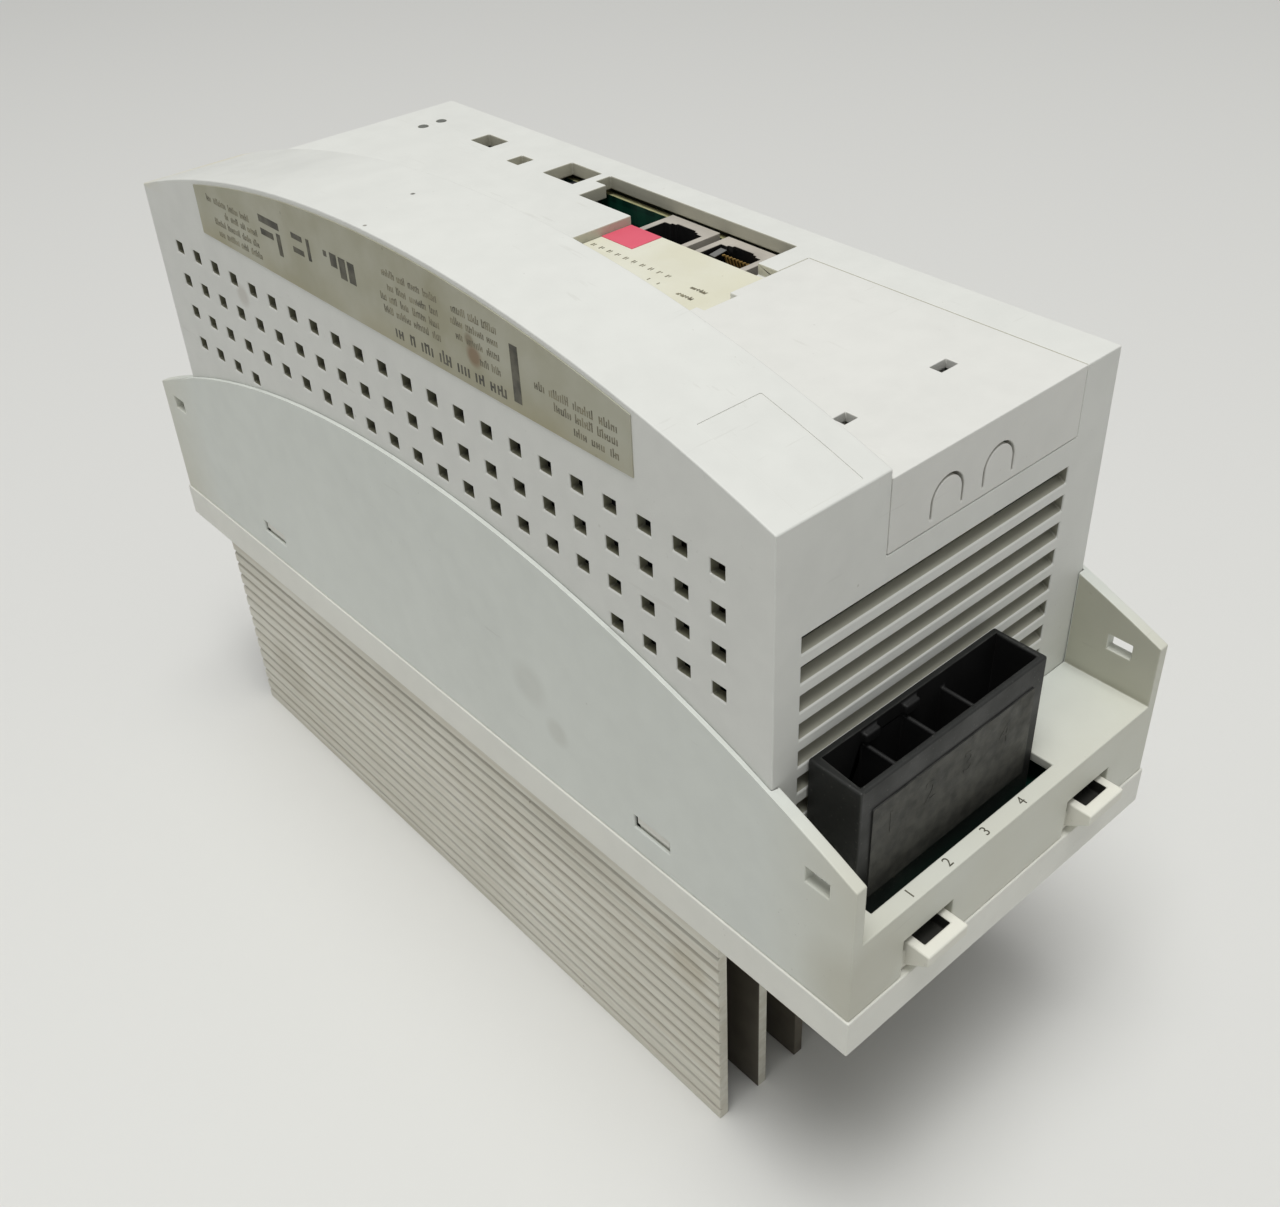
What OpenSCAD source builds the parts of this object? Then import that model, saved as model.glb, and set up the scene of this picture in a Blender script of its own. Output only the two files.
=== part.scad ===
// Compact servo drive, lying on the fins of its heat sink.
// Millimetres, +Z up. The origin is on the ground under the middle of the casing.
// The motor connector is at the -Y end, the supply connector at the +Y end, and the
// arched strip of the hood runs along the -X side.

/* [Casing] */
// Width of the hood, without the lower shell around it
hood_w = 88; // [86:0.5:90]
// Length of the hood between its two louvred ends
hood_l = 205; // [202:0.5:208]
// Height of the hood's flat top above the fin tips
top_z = 162.3; // [161:0.1:164]
// Thickness of the hood's walls
wall = 2.2; // [1.8:0.1:2.2]
// Thickness of the hood's flat top
top_t = 3.2; // [3:0.1:3.6]
// Width of the arched strip
arch_w = 25.8; // [25.4:0.1:26.4]
// How far the arch's ends stand above the flat top
arch_step = 1.8; // [1.4:0.1:2.6]
// Rise of the arch from its ends to its crown
arch_rise = 16.8; // [16:0.2:18]

/* [Lower shell] */
// Overall length of the lower shell and the base frame
shell_l = 245; // [243:1:249]
// How far the shell stands proud of the hood's sides
shell_proud = 1; // [0.9:0.1:1.2]
// Height of the seam between the base frame and the lower shell
seam_z = 72; // [71.8:0.1:72.2]
// Height of the shelf that carries a connector at each end
shelf_z = 90.5; // [90.5:0.1:91]
// Height of the side arc at its crown
shell_crown_z = 131.6; // [131:0.2:132.6]
// Height of the side arc at the shell's ends
shell_end_z = 105; // [105:0.5:108]
// Thickness of the wings at both ends
wing_t = 2.6; // [2.2:0.1:2.6]

/* [Vents] */
// Number of columns of square vents in each side
vent_columns = 22; // [20:1:22]
// Spacing of the vent columns
vent_pitch = 8.58; // [8.4:0.02:8.6]
// Length of a vent along the casing
vent_l = 3.4; // [3:0.1:3.8]
// Height of a vent
vent_h = 3; // [2.6:0.1:3.2]
// Number of louvre slots in each end
louvre_count = 9; // [7:1:9]
// Spacing of the louvre slots
louvre_pitch = 6.08; // [6:0.01:6.1]

/* [Heat sink] */
// Height of the fins below the base frame
fin_h = 63; // [63:0.1:63.2]
// Thickness of a fin
fin_t = 2.5; // [2:0.1:2.8]
// Number of fins
fin_count = 8; // [7:1:9]
// Width of the heat sink over its outer fins
sink_w = 84.4; // [83:0.1:84.4]
// Number of grooves in the face of each outer fin
groove_count = 15; // [12:1:16]

/* [Latches and lid] */
// Distance of each latch from the middle
latch_x = 24.2; // [23:0.2:26]
// Width of a latch
latch_w = 12.8; // [12:0.2:13.6]
// How far the latch's finger loop stands out
loop_out = 4.6; // [4:0.1:5]
// Thickness of the terminal lid
lid_t = 2; // [1.8:0.1:2]
// Height of the lid's front flap
flap_h = 14.6; // [14:0.1:15.5]

/* [Connectors] */
// Spacing of the contacts in the power connectors
contact_pitch = 10.6; // [10.4:0.1:10.6]
// Height of the power connectors' rims
rim_z = 114.9; // [112:0.1:116]
// Depth of a power connector, front to back
connector_d = 11.9; // [11.7:0.1:12]
// Wall thickness of a power connector
connector_wall = 1.4; // [1.2:0.1:1.5]
// Width of a data jack
jack_w = 15.2; // [15:0.1:15.4]
// Width of a data jack's socket
socket_w = 11.9; // [11.8:0.1:12]

/* [Hidden] */

gap = 0.15;
smooth = 96;
arc_smooth = 360;

hood_x = hood_w / 2;
hood_y = hood_l / 2;
ceiling_z = top_z - top_t;
hood_foot_z = seam_z + 12;
arch_x = -hood_x + arch_w;
arch_crown_z = top_z + arch_step + arch_rise;
arch_r = (hood_y * hood_y + arch_rise * arch_rise) / (2 * arch_rise);

shell_x = hood_x + shell_proud;
shell_y = shell_l / 2;
shell_drop = shell_crown_z - shell_end_z;
shell_r = (shell_y * shell_y + shell_drop * shell_drop) / (2 * shell_drop);
end_wall = 2.2;
shelf_t = 2.2;
shelf_gap = 0.1;

frame_floor = 2.5;
sink_z = fin_h + frame_floor;
sink_plate_t = 6;
sink_top_z = sink_z + sink_plate_t;
sink_y0 = -87;
sink_y1 = 110;
sink_tab_x = 26;
sink_tab_front = 14;
sink_tab_back = 8;
sink_screws = [[-18, -94], [18, -94], [-18, 114], [18, 114]];
screw_head_r = 3.6;
screw_head_t = 1.6;
insert_x = 36;
insert_y = 115.5;
insert_r = 3;
insert_bore_r = 2.1;
insert_l = 8;

vent_rows = [151.8, 143.5, 135.3, 126.9];
low_row_columns = 4;
louvre_x0 = -37.7;
louvre_x1 = 32.6;
louvre_top_z = 141.6;
louvre_h = 3.1;
louvre_slope = 1.6;
slot_y = 114;
slot_l = 5.4;
slot_h = 3.6;
slot_z = 100.8;
hook_y = 72;
hook_l = 10.2;
hook_z = 78.4;
hook_h = 3.4;

lid_x1 = 33.9;
lid_y1 = -36.4;
lid_ledge = 2.2;
recess_d = 2.1;
recess_y1 = 6.8;
label_t = 0.4;
sticker_t = 0.15;
port_x0 = 23.9;
port_x1 = 36.4;
port_y0 = -30.7;
port_y1 = 24.7;
port_strip_x = 32;
port_strip_y = 28.4;

board_t = 1.6;
power_board_z = 80;
power_board_top = power_board_z + board_t;
power_board_x = 40.8;
power_board_y = 116.6;
control_x = 36;
control_y0 = -98;
control_y1 = 97;
control_z0 = 84.5;
control_top = 157.8;

connector_x0 = -35.6;
connector_y1 = -hood_y - 0.2;
first_chamber = 11.4;
motor_ways = 4;
supply_ways = 4;
wide_chamber = 16.6;

jack_top = 159;
jack_l = 18;
jack_x0 = 22.6;
jack_x1 = control_x - 0.1;
socket_x0 = 25.4;
socket_x1 = 32.6;
socket_d = 13;
front_jack_y = -18.8;
rear_jack_y = -1;
wire_count = 8;
wire_pitch = 1.02;
wire_t = 0.46;

dial_at = [31.6, 36.6];
dial_r = 3;
mode_at = [31.8, 69.25];
mode_slots = [-2.05, 2.05];
button_at = [28.55, 52.6];
led_xs = [26.8, 32.4];
led_y = 90.9;
pipe_r = 1.25;

block_pitch = 5.08;
block_ways = 10;
block_y0 = -92;
block_x0 = 24;
block_top = 152;

// A box between two opposite corners
module span(lo, hi) {
    translate(lo) cube(hi - lo);
}

// A round bar along X, used as the outline of an arc over the casing's length
module arc_bar(radius, crown_z, x0, x1) {
    translate([x0, 0, crown_z - radius])
        rotate([0, 90, 0]) cylinder(r = radius, h = x1 - x0, $fn = arc_smooth);
}

// ---- Heat sink and base frame ----

// One fin, grooved on one face when side is -1 or 1
module fin(x, side) {
    groove_pitch = (fin_h - 4) / groove_count;
    groove_d = 0.45;
    difference() {
        span([x - fin_t / 2, sink_y0, 0], [x + fin_t / 2, sink_y1, sink_z]);
        if (side != 0)
            for (i = [0 : groove_count - 1])
                translate([x + side * fin_t / 2, sink_y0 - 1, 3 + i * groove_pitch])
                    rotate([0, 45, 0])
                        cube([2 * groove_d, 2 * (sink_y1 - sink_y0 + 2), 2 * groove_d], center = true);
    }
}

module heat_sink() {
    fin_pitch = (sink_w - fin_t) / (fin_count - 1);
    color("#b4aea2")
        difference() {
            union() {
                span([-sink_w / 2, sink_y0, sink_z], [sink_w / 2, sink_y1, sink_top_z]);
                span([-sink_tab_x, sink_y0 - sink_tab_front, sink_z],
                    [sink_tab_x, sink_y1 + sink_tab_back, sink_top_z]);
                for (i = [0 : fin_count - 1])
                    fin(-sink_w / 2 + fin_t / 2 + i * fin_pitch,
                        i == 0 ? -1 : i == fin_count - 1 ? 1 : 0);
            }
            for (at = sink_screws)
                translate([at.x, at.y, sink_z - 1]) cylinder(r = 2, h = 6, $fn = smooth);
        }
}

// Countersunk screws, their heads just below the frame's underside
module heat_sink_screws() {
    color("#8d9092")
        for (at = sink_screws)
            translate([at.x, at.y, fin_h + 0.2])
                difference() {
                    union() {
                        cylinder(r1 = screw_head_r, r2 = 1.95, h = screw_head_t, $fn = smooth);
                        cylinder(r = 1.95, h = 7, $fn = smooth);
                    }
                    translate([-2.2, -0.4, -1]) cube([4.4, 0.8, 1.9]);
                    translate([-0.4, -2.2, -1]) cube([0.8, 4.4, 1.9]);
                }
}

module base_frame() {
    rim = 2.2;
    boss_r = 4.5;
    proud = 0.4;
    floor_x = sink_w / 2 + 0.2;
    color("#c6c8bd")
        difference() {
            union() {
                difference() {
                    span([-shell_x - proud, -shell_y - proud, fin_h],
                        [shell_x + proud, shell_y + proud, seam_z]);
                    span([-shell_x + rim, -shell_y + rim, sink_z],
                        [shell_x - rim, shell_y - rim, seam_z + 1]);
                    span([-floor_x, sink_y0 - 0.5, fin_h - 1], [floor_x, sink_y1 + 0.5, sink_z + 1]);
                }
                for (sx = [-1, 1], sy = [-1, 1])
                    translate([sx * insert_x, sy * insert_y, fin_h])
                        cylinder(r = boss_r, h = seam_z - fin_h - 0.2, $fn = smooth);
                for (sx = [-1, 1], sy = [-1, 1])
                    side_hook(sx, sy);
            }
            for (sx = [-1, 1], sy = [-1, 1])
                translate([sx * insert_x, sy * insert_y, fin_h - 1])
                    cylinder(r = insert_r + 0.05, h = insert_l + 1, $fn = smooth);
            for (at = sink_screws)
                translate([at.x, at.y, fin_h - 0.1]) {
                    cylinder(r = 2.2, h = 5, $fn = smooth);
                    cylinder(r1 = screw_head_r + 0.3, r2 = 2.2, h = screw_head_t + 0.3, $fn = smooth);
                }
        }
}

// Snap tongue inside the lower shell, with a barb in the shell's window
module side_hook(sx, sy) {
    inner = hood_x - 1.6;
    barb_clear = 0.4;
    x0 = min(sx * inner, sx * hood_x);
    x1 = max(sx * inner, sx * hood_x);
    bx0 = min(sx * inner, sx * (shell_x - 0.5));
    bx1 = max(sx * inner, sx * (shell_x - 0.5));
    y0 = sy * hook_y - hook_l / 2 + barb_clear;
    y1 = sy * hook_y + hook_l / 2 - barb_clear;
    span([x0, y0, seam_z - 5], [x1, y1, hook_z + hook_h - barb_clear]);
    span([bx0, y0, hook_z + 1.2], [bx1, y1, hook_z + hook_h - barb_clear]);
}

module threaded_inserts() {
    color("#b89a54")
        for (sx = [-1, 1], sy = [-1, 1])
            translate([sx * insert_x, sy * insert_y, fin_h])
                difference() {
                    cylinder(r = insert_r, h = insert_l, $fn = smooth);
                    translate([0, 0, -1]) cylinder(r = insert_bore_r, h = insert_l + 2, $fn = smooth);
                }
}

// ---- Latches ----

latch_foot_z = seam_z + 0.4;
latch_top_z = 80.1;
latch_t = 2.4;
latch_recess = 0.8;
keeper_z = 74.7;

// Latch at the -Y end: a tongue, a wedge-shaped finger loop at its top, and a barb inside
module latch_shape() {
    loop_t = 2.6;
    bar = 2.6;
    side = 2;
    pocket_z = latch_top_z - 2.9;
    wedge_z = latch_foot_z + 1.2;
    barb = 1.6;
    w = latch_w / 2;
    loop_w = w - 0.9;
    out = -shell_y - loop_out;
    face = -shell_y + latch_recess;
    back = face + latch_t;
    difference() {
        union() {
            span([-w, face, latch_foot_z], [w, back, latch_top_z - loop_t]);
            translate([-loop_w, 0, 0])
                rotate([90, 0, 90])
                    linear_extrude(2 * loop_w)
                        polygon([[back, latch_top_z], [out, latch_top_z], [out, latch_top_z - loop_t],
                            [face, wedge_z], [back, wedge_z]]);
        }
        span([-loop_w + side, out + bar, pocket_z],
            [loop_w - side, back + 1, latch_top_z + 1]);
    }
    span([-w + 1, back - 0.1, keeper_z + 0.3], [w - 1, back + barb, keeper_z + 2]);
}

module latch(sx, sy) {
    color("#cfd1c8")
        translate([sx * latch_x, 0, 0])
            if (sy < 0) latch_shape();
            else mirror([0, 1, 0]) latch_shape();
}

module latch_front_left() { latch(-1, -1); }
module latch_front_right() { latch(1, -1); }
module latch_back_left() { latch(-1, 1); }
module latch_back_right() { latch(1, 1); }

// ---- Lower shell ----

// Half of the shell at the -Y end: end wall, shelf and the ends of the sides
module shell_end() {
    span([-shell_x, -shell_y, seam_z], [shell_x, -shell_y + end_wall, shelf_z]);
    span([-shell_x, -shell_y, shelf_z - shelf_t], [shell_x, -hood_y - shelf_gap, shelf_z]);
    for (s = [-1, 1])
        span([s < 0 ? -shell_x : shell_x - wing_t, -shell_y, seam_z],
            [s < 0 ? -shell_x + wing_t : shell_x, -hood_y - shelf_gap, shell_crown_z]);
}

// Ledge behind a latch that its barb sits on
module keeper(sx) {
    keeper_t = 2.6;
    clear = 0.35;
    y0 = -shell_y + latch_recess + latch_t + clear;
    arm = 2.4;
    x0 = sx * latch_x - latch_w / 2;
    x1 = sx * latch_x + latch_w / 2;
    span([x0 - arm, y0, seam_z + 1.2], [x1 + arm, y0 + keeper_t, keeper_z]);
    for (x = [x0 - arm, x1 + 0.6])
        span([x, -shell_y + end_wall - 0.5, seam_z + 1.2], [x + arm - 0.6, y0 + keeper_t, keeper_z]);
}

// Cut for a connector from cut_x0 to cut_x1, with a slit along the hood's face
module shell_end_cuts(cut_x0, cut_x1, slit_x0, slit_x1) {
    strip = 3.6;
    span([cut_x0, -shell_y + strip, shelf_z - shelf_t - 1], [cut_x1, -hood_y + 1, shelf_z + 1]);
    span([slit_x0, -hood_y - 2.6, shelf_z - shelf_t - 1], [slit_x1, -hood_y + 1, shelf_z + 1]);
    for (sx = [-1, 1])
        span([sx * latch_x - latch_w / 2 - 0.35, -shell_y - 1, seam_z - 1],
            [sx * latch_x + latch_w / 2 + 0.35, -shell_y + end_wall + 0.1, latch_top_z + 1.6]);
    span([-shell_x - 1, -slot_y - slot_l / 2, slot_z - slot_h / 2],
        [shell_x + 1, -slot_y + slot_l / 2, slot_z + slot_h / 2]);
}

module lower_shell() {
    side_in = hood_x + 0.1;
    cut_lo = connector_x0 - 0.7;
    cut_hi = connector_x0 + connector_w(motor_ways) + 0.5;
    slit_left = 37.2;
    slit_right = 18.2;
    color("#b9c0b8")
        difference() {
            union() {
                intersection() {
                    union() {
                        shell_end();
                        mirror([0, 1, 0]) shell_end();
                        span([-shell_x, -hood_y - 1, seam_z],
                            [-side_in, hood_y + 1, shell_crown_z + 1]);
                        span([side_in, -hood_y - 1, seam_z], [shell_x, hood_y + 1, shell_crown_z + 1]);
                    }
                    arc_bar(shell_r, shell_crown_z, -shell_x - 1, shell_x + 1);
                }
                for (sx = [-1, 1]) {
                    keeper(sx);
                    mirror([0, 1, 0]) keeper(sx);
                }
            }
            shell_end_cuts(cut_lo, cut_hi, -slit_left, slit_right);
            mirror([0, 1, 0]) shell_end_cuts(-cut_hi, -cut_lo, -slit_right, slit_left);
            for (sy = [-1, 1])
                span([-shell_x - 1, sy * hook_y - hook_l / 2, hook_z],
                    [shell_x + 1, sy * hook_y + hook_l / 2, hook_z + hook_h]);
        }
}

// ---- Hood ----

// The hood's outline as a solid, drawn in by inset, with its tops lowered by the two depths
module hood_solid(inset, flat_drop, arch_drop, foot_z) {
    span([arch_x - inset, -hood_y + inset, foot_z],
        [hood_x - inset, hood_y - inset, top_z - flat_drop]);
    intersection() {
        span([-hood_x + inset, -hood_y + inset, foot_z],
            [arch_x - inset, hood_y - inset, arch_crown_z + 1]);
        arc_bar(arch_r - arch_drop, arch_crown_z - arch_drop, -hood_x - 1, arch_x + 1);
    }
}

// Square vents through both sides: full rows, and short rows where the shell's arc is low
module side_vents() {
    for (row = [0 : len(vent_rows) - 1], k = [0 : vent_columns - 1]) {
        edge = min(k, vent_columns - 1 - k);
        y = (k - (vent_columns - 1) / 2) * vent_pitch;
        z = vent_rows[row];
        if (row < len(vent_rows) - 1 || edge < low_row_columns)
            span([-hood_x - 1, y - vent_l / 2, z - vent_h / 2],
                [hood_x + 1, y + vent_l / 2, z + vent_h / 2]);
    }
}

// Louvre slots through the end wall at the -Y end: their floors rise inwards
module louvres() {
    for (i = [0 : louvre_count - 1]) {
        z1 = louvre_top_z - i * louvre_pitch;
        translate([louvre_x0, 0, 0])
            rotate([90, 0, 90])
                linear_extrude(louvre_x1 - louvre_x0)
                    polygon([[-hood_y - 1, z1 - louvre_h - louvre_slope / 2], [-hood_y - 1, z1],
                        [-hood_y + wall + 1, z1 + louvre_slope],
                            [-hood_y + wall + 1, z1 - louvre_h + louvre_slope]]);
    }
}

// Pocket that the lid lies in, the bay under it, and the cut for its front flap
module lid_pocket() {
    span([arch_x, -hood_y - 1, top_z - lid_t], [lid_x1, lid_y1, top_z + 1]);
    span([arch_x + lid_ledge, -hood_y + wall, ceiling_z - 1],
        [lid_x1 - lid_ledge, lid_y1 - lid_ledge, top_z + 1]);
    span([arch_x, -hood_y - 1, top_z - flap_h], [lid_x1, -hood_y + wall + 0.1, top_z + 1]);
}

// Openings in the flat top: ports, three windows and the light pipes
module top_openings() {
    windows = [[[27.2, 31.1], [36, 42]], [[29, 65.3], [34.6, 73.2]], [[26.2, 50.4], [30.9, 54.8]]];
    span([port_x0, port_y0, ceiling_z - 1], [port_x1, port_y1, top_z + 1]);
    span([port_strip_x, port_y1 - 1, ceiling_z - 1], [port_x1, port_strip_y, top_z + 1]);
    for (w = windows)
        span([w[0].x, w[0].y, ceiling_z - 1], [w[1].x, w[1].y, top_z + 1]);
    for (x = led_xs)
        translate([x, led_y, ceiling_z - 1]) cylinder(r = pipe_r + 0.05, h = top_t + 2, $fn = smooth);
    span([arch_x, lid_y1 - 1, top_z - recess_d - label_t], [port_x0 + 1, recess_y1, top_z + 1]);
}

// Shallow marking field near the front end of the arch
module marking_field() {
    field_d = 0.12;
    intersection() {
        span([-38, -hood_y + 1, top_z], [-23.9, -79.6, arch_crown_z + 1]);
        difference() {
            arc_bar(arch_r + 1, arch_crown_z + 1, -hood_x, -20);
            arc_bar(arch_r - field_d, arch_crown_z - field_d, -hood_x - 1, -19);
        }
    }
}

module hood() {
    color("#dfe2dc")
        difference() {
            hood_solid(0, 0, 0, hood_foot_z);
            hood_solid(wall, top_t, wall, hood_foot_z - 1);
            span([-hood_x + wall, -hood_y - 1, hood_foot_z - 1],
                [hood_x - wall, hood_y + 1, shelf_z - shelf_t]);
            side_vents();
            louvres();
            mirror([0, 1, 0]) louvres();
            lid_pocket();
            top_openings();
            marking_field();
        }
}

// ---- Lid and labels ----

// Arched cable knock-out: a slit left open at its foot
module knockout(x) {
    outer_r = 4.3;
    slit = 0.55;
    foot_z = 149.4;
    centre_z = 152.4;
    translate([x, -hood_y + 3, 0])
        rotate([90, 0, 0])
            linear_extrude(4)
                difference() {
                    union() {
                        translate([0, centre_z]) circle(r = outer_r, $fn = smooth);
                        translate([-outer_r, foot_z]) square([2 * outer_r, centre_z - foot_z]);
                    }
                    translate([0, centre_z]) circle(r = outer_r - slit, $fn = smooth);
                    translate([-outer_r + slit, foot_z - 3])
                        square([2 * (outer_r - slit), centre_z - foot_z + 3]);
                    translate([-outer_r - 1, foot_z - 9]) square([2 * outer_r + 2, 9]);
                }
}

module terminal_lid() {
    hole_y = -86.1;
    holes = [[-10.9, 3.3], [14.1, 4.6]];
    hook_d = 6;
    color("#e1e4de")
        difference() {
            union() {
                span([arch_x + gap, -hood_y, top_z - lid_t], [lid_x1 - gap, lid_y1 - gap, top_z]);
                span([arch_x + gap, -hood_y, top_z - flap_h + gap], [lid_x1 - gap, -hood_y + 2, top_z]);
                for (h = holes)
                    span([h[0] - 1, hole_y + 3.4, top_z - lid_t - hook_d],
                        [h[0] + h[1] + 1, hole_y + 5, top_z - 1]);
            }
            for (h = holes)
                span([h[0], hole_y, top_z - lid_t - 1], [h[0] + h[1], hole_y + 2.7, top_z + 1]);
            span([2.6, lid_y1 - 2.2, top_z - lid_t - 1], [11.4, lid_y1 + 1, top_z + 1]);
            knockout(-3.5);
            knockout(10.2);
        }
}

// Rating label along the -X side, with its top edge just inside the arch
module side_label() {
    label_y0 = -71.3;
    label_y1 = 73.7;
    inset = 1.1;
    thick = 0.2;
    color("#aeac96")
        intersection() {
            span([-hood_x - thick, label_y0, 160.2], [-hood_x, label_y1, arch_crown_z]);
            arc_bar(arch_r - inset, arch_crown_z - inset, -hood_x - 1, -hood_x + 1);
        }
}

module port_label() {
    color("#dcdccb")
        span([arch_x + 0.1, lid_y1 + 0.1, top_z - recess_d - label_t],
            [port_x0 - 0.1, recess_y1 - 0.1, top_z - recess_d]);
}

module pink_sticker() {
    color("#e4607a")
        span([15.1, -3.3, top_z - recess_d],
            [port_x0 - 0.3, recess_y1 - 0.2, top_z - recess_d + sticker_t]);
}

// ---- Power connectors ----

function connector_w(ways) = first_chamber + (ways - 2) * contact_pitch + wide_chamber + connector_wall;

// Open-topped housing at the -Y end, with one chamber for each contact
module connector(ways) {
    x0 = connector_x0;
    x1 = x0 + connector_w(ways);
    y1 = connector_y1;
    y0 = y1 - connector_d;
    rib_t = 1;
    rib_drop = 3.6;
    floor_t = 2.4;
    rib_x0 = x0 + first_chamber + connector_wall;
    difference() {
        union() {
            span([x0, y0, power_board_top], [x1, y1, rim_z]);
            span([x0 + 3, y0 - 0.3, shelf_z - 2.5], [x1 - 3, y0 + 0.1, rim_z - 5.5]);
        }
        span([x0 + connector_wall, y0 + connector_wall, power_board_top + floor_t],
            [x1 - connector_wall, y1 - connector_wall, rim_z + 1]);
        for (i = [0 : ways - 1])
            translate([contact_x(i), (y0 + y1) / 2, power_board_top - 1])
                translate([-3.2, -0.45, 0]) cube([6.4, 0.9, floor_t + 2]);
    }
    for (i = [0 : ways - 2])
        span([rib_x0 + i * contact_pitch - rib_t / 2, y0 + connector_wall - 0.1, power_board_top + 1],
            [rib_x0 + i * contact_pitch + rib_t / 2, y1 - connector_wall + 0.1, rim_z - rib_drop]);
    for (i = [0, 1])
        span([rib_x0 + i * contact_pitch - 0.9, y1 - connector_wall - 1.3, rim_z - 3],
            [rib_x0 + i * contact_pitch + 2.9, y1 - connector_wall + 0.1, rim_z - 0.8]);
}

// Middle of each chamber: all are a pitch apart, and the last chamber is wider
function contact_x(i) = connector_x0 + connector_wall + first_chamber + (i - 0.5) * contact_pitch;

// Flat blades that stand on the board inside the chambers
module contacts(ways) {
    y = connector_y1 - connector_d / 2;
    for (i = [0 : ways - 1])
        translate([contact_x(i), y, power_board_top])
            translate([-3.15, -0.4, 0]) cube([6.3, 0.8, 21]);
}

module motor_connector() { color("#3b3c3b") connector(motor_ways); }
module motor_contacts() { color("#c9c4b0") contacts(motor_ways); }
module supply_connector() { color("#3b3c3b") rotate([0, 0, 180]) connector(supply_ways); }
module supply_contacts() { color("#c9c4b0") rotate([0, 0, 180]) contacts(supply_ways); }

// ---- Power board and what stands on it ----

standoffs = [for (x = [-36, 36], y = [-78, 66, 94]) [x, y]];
module_x = 26;
module_y0 = -52;
module_y1 = 24;
module_screw_y = [module_y0 + 4.5, module_y1 - 4.5];
pad_t = 0.5;

module power_board() {
    color("#14463a")
        difference() {
            span([-power_board_x, -power_board_y, power_board_z],
                [power_board_x, power_board_y, power_board_top]);
            for (at = standoffs)
                translate([at.x, at.y, power_board_z - 1]) cylinder(r = 1.6, h = 4, $fn = smooth);
        }
}

module thermal_pad() {
    color("#c9b6c2")
        difference() {
            span([-module_x, module_y0, sink_top_z], [module_x, module_y1, sink_top_z + pad_t]);
            for (y = module_screw_y)
                translate([0, y, sink_top_z - 1]) cylinder(r = 2.3, h = 3, $fn = smooth);
        }
}

module power_module() {
    step = 3;
    color("#4a4c4f")
        difference() {
            union() {
                span([-module_x, module_y0, sink_top_z + pad_t],
                    [module_x, module_y1, sink_top_z + pad_t + 3]);
                span([-module_x, module_y0 + 9, sink_top_z + pad_t],
                    [module_x, module_y1 - 9, power_board_z - step]);
                for (sx = [-1, 1], i = [0 : 5])
                    span([sx * (module_x - 3) - 0.5, module_y0 + 14 + i * 9, power_board_z - step - 1],
                        [sx * (module_x - 3) + 0.5, module_y0 + 15 + i * 9, power_board_z]);
            }
            for (y = module_screw_y)
                translate([0, y, sink_top_z - 1]) cylinder(r = 2.3, h = 9, $fn = smooth);
        }
}

module module_screws() {
    color("#9a9c9e")
        for (y = module_screw_y)
            translate([0, y, sink_top_z]) {
                cylinder(r = 2, h = pad_t + 3, $fn = smooth);
                translate([0, 0, pad_t + 3]) cylinder(r = 3.6, h = 2.6, $fn = smooth);
            }
}

module board_standoffs() {
    color("#b89a54")
        for (at = standoffs)
            translate([at.x, at.y, sink_top_z])
                difference() {
                    cylinder(r = 3.2, h = power_board_z - sink_top_z, $fn = 6);
                    translate([0, 0, 4]) cylinder(r = 1.3, h = 20, $fn = smooth);
                }
}

module board_screws() {
    color("#9a9c9e")
        for (at = standoffs)
            translate([at.x, at.y, power_board_top]) {
                translate([0, 0, -5.5]) cylinder(r = 1.25, h = 6, $fn = smooth);
                cylinder(r = 2.8, h = 2, $fn = smooth);
            }
}

// Tall cans in a row under the arch
module dc_link_capacitors() {
    can_r = 10;
    can_h = 85;
    can_pitch = 22.5;
    color("#2c3136")
        for (i = [-2 : 2])
            translate([(arch_x - hood_x) / 2, i * can_pitch, power_board_top])
                difference() {
                    cylinder(r = can_r, h = can_h, $fn = smooth);
                    translate([0, 0, 4])
                        rotate_extrude($fn = smooth)
                            translate([can_r + 0.35, 0]) circle(r = 0.9, $fn = 32);
                }
}

module transformer_core() {
    color("#3a3a3c")
        difference() {
            span([-14, 36, power_board_top + 3], [16, 66, power_board_top + 25]);
            span([-9, 35, power_board_top + 8], [-3, 67, power_board_top + 20]);
            span([5, 35, power_board_top + 8], [11, 67, power_board_top + 20]);
        }
}

module transformer_winding() {
    color("#c99b34") {
        for (x = [-8.9, 5.1])
            span([x, 32, power_board_top + 8.1], [x + 5.8, 70, power_board_top + 19.9]);
        for (y = [32, 66.2])
            span([-8.9, y, power_board_top], [10.9, y + 3.8, power_board_top + 19.9]);
    }
}

choke_at = [2, 88];
choke_z = 12;

module choke_core() {
    color("#3d5a46")
        translate([choke_at.x, choke_at.y, power_board_top + choke_z])
            rotate([90, 0, 0])
                rotate_extrude($fn = smooth) translate([5, -3]) square([4, 6]);
}

// Turns of thick wire around the ring, each a closed rectangular loop
module choke_winding() {
    turns = 9;
    wire = 1.2;
    color("#b06a3a")
        translate([choke_at.x, choke_at.y, power_board_top + choke_z])
            rotate([90, 0, 0])
                for (i = [0 : turns - 1])
                    rotate([0, 0, 20 + i * 320 / turns])
                        difference() {
                            translate([3.6, -wire / 2, -4.3]) cube([6.8, wire, 8.6]);
                            translate([4.9, -wire, -3.1]) cube([4.2, 2 * wire, 6.2]);
                        }
}

module relay() {
    color("#d8d8d0") span([-14, -22, power_board_top], [2, 7, power_board_top + 15.5]);
}

module current_sensors() {
    color("#23262a")
        for (x = [-15, 4])
            difference() {
                span([x, -84, power_board_top], [x + 14, -74, power_board_top + 12]);
                translate([x + 7, -73, power_board_top + 7])
                    rotate([90, 0, 0]) cylinder(r = 2.6, h = 12, $fn = smooth);
            }
}

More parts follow.
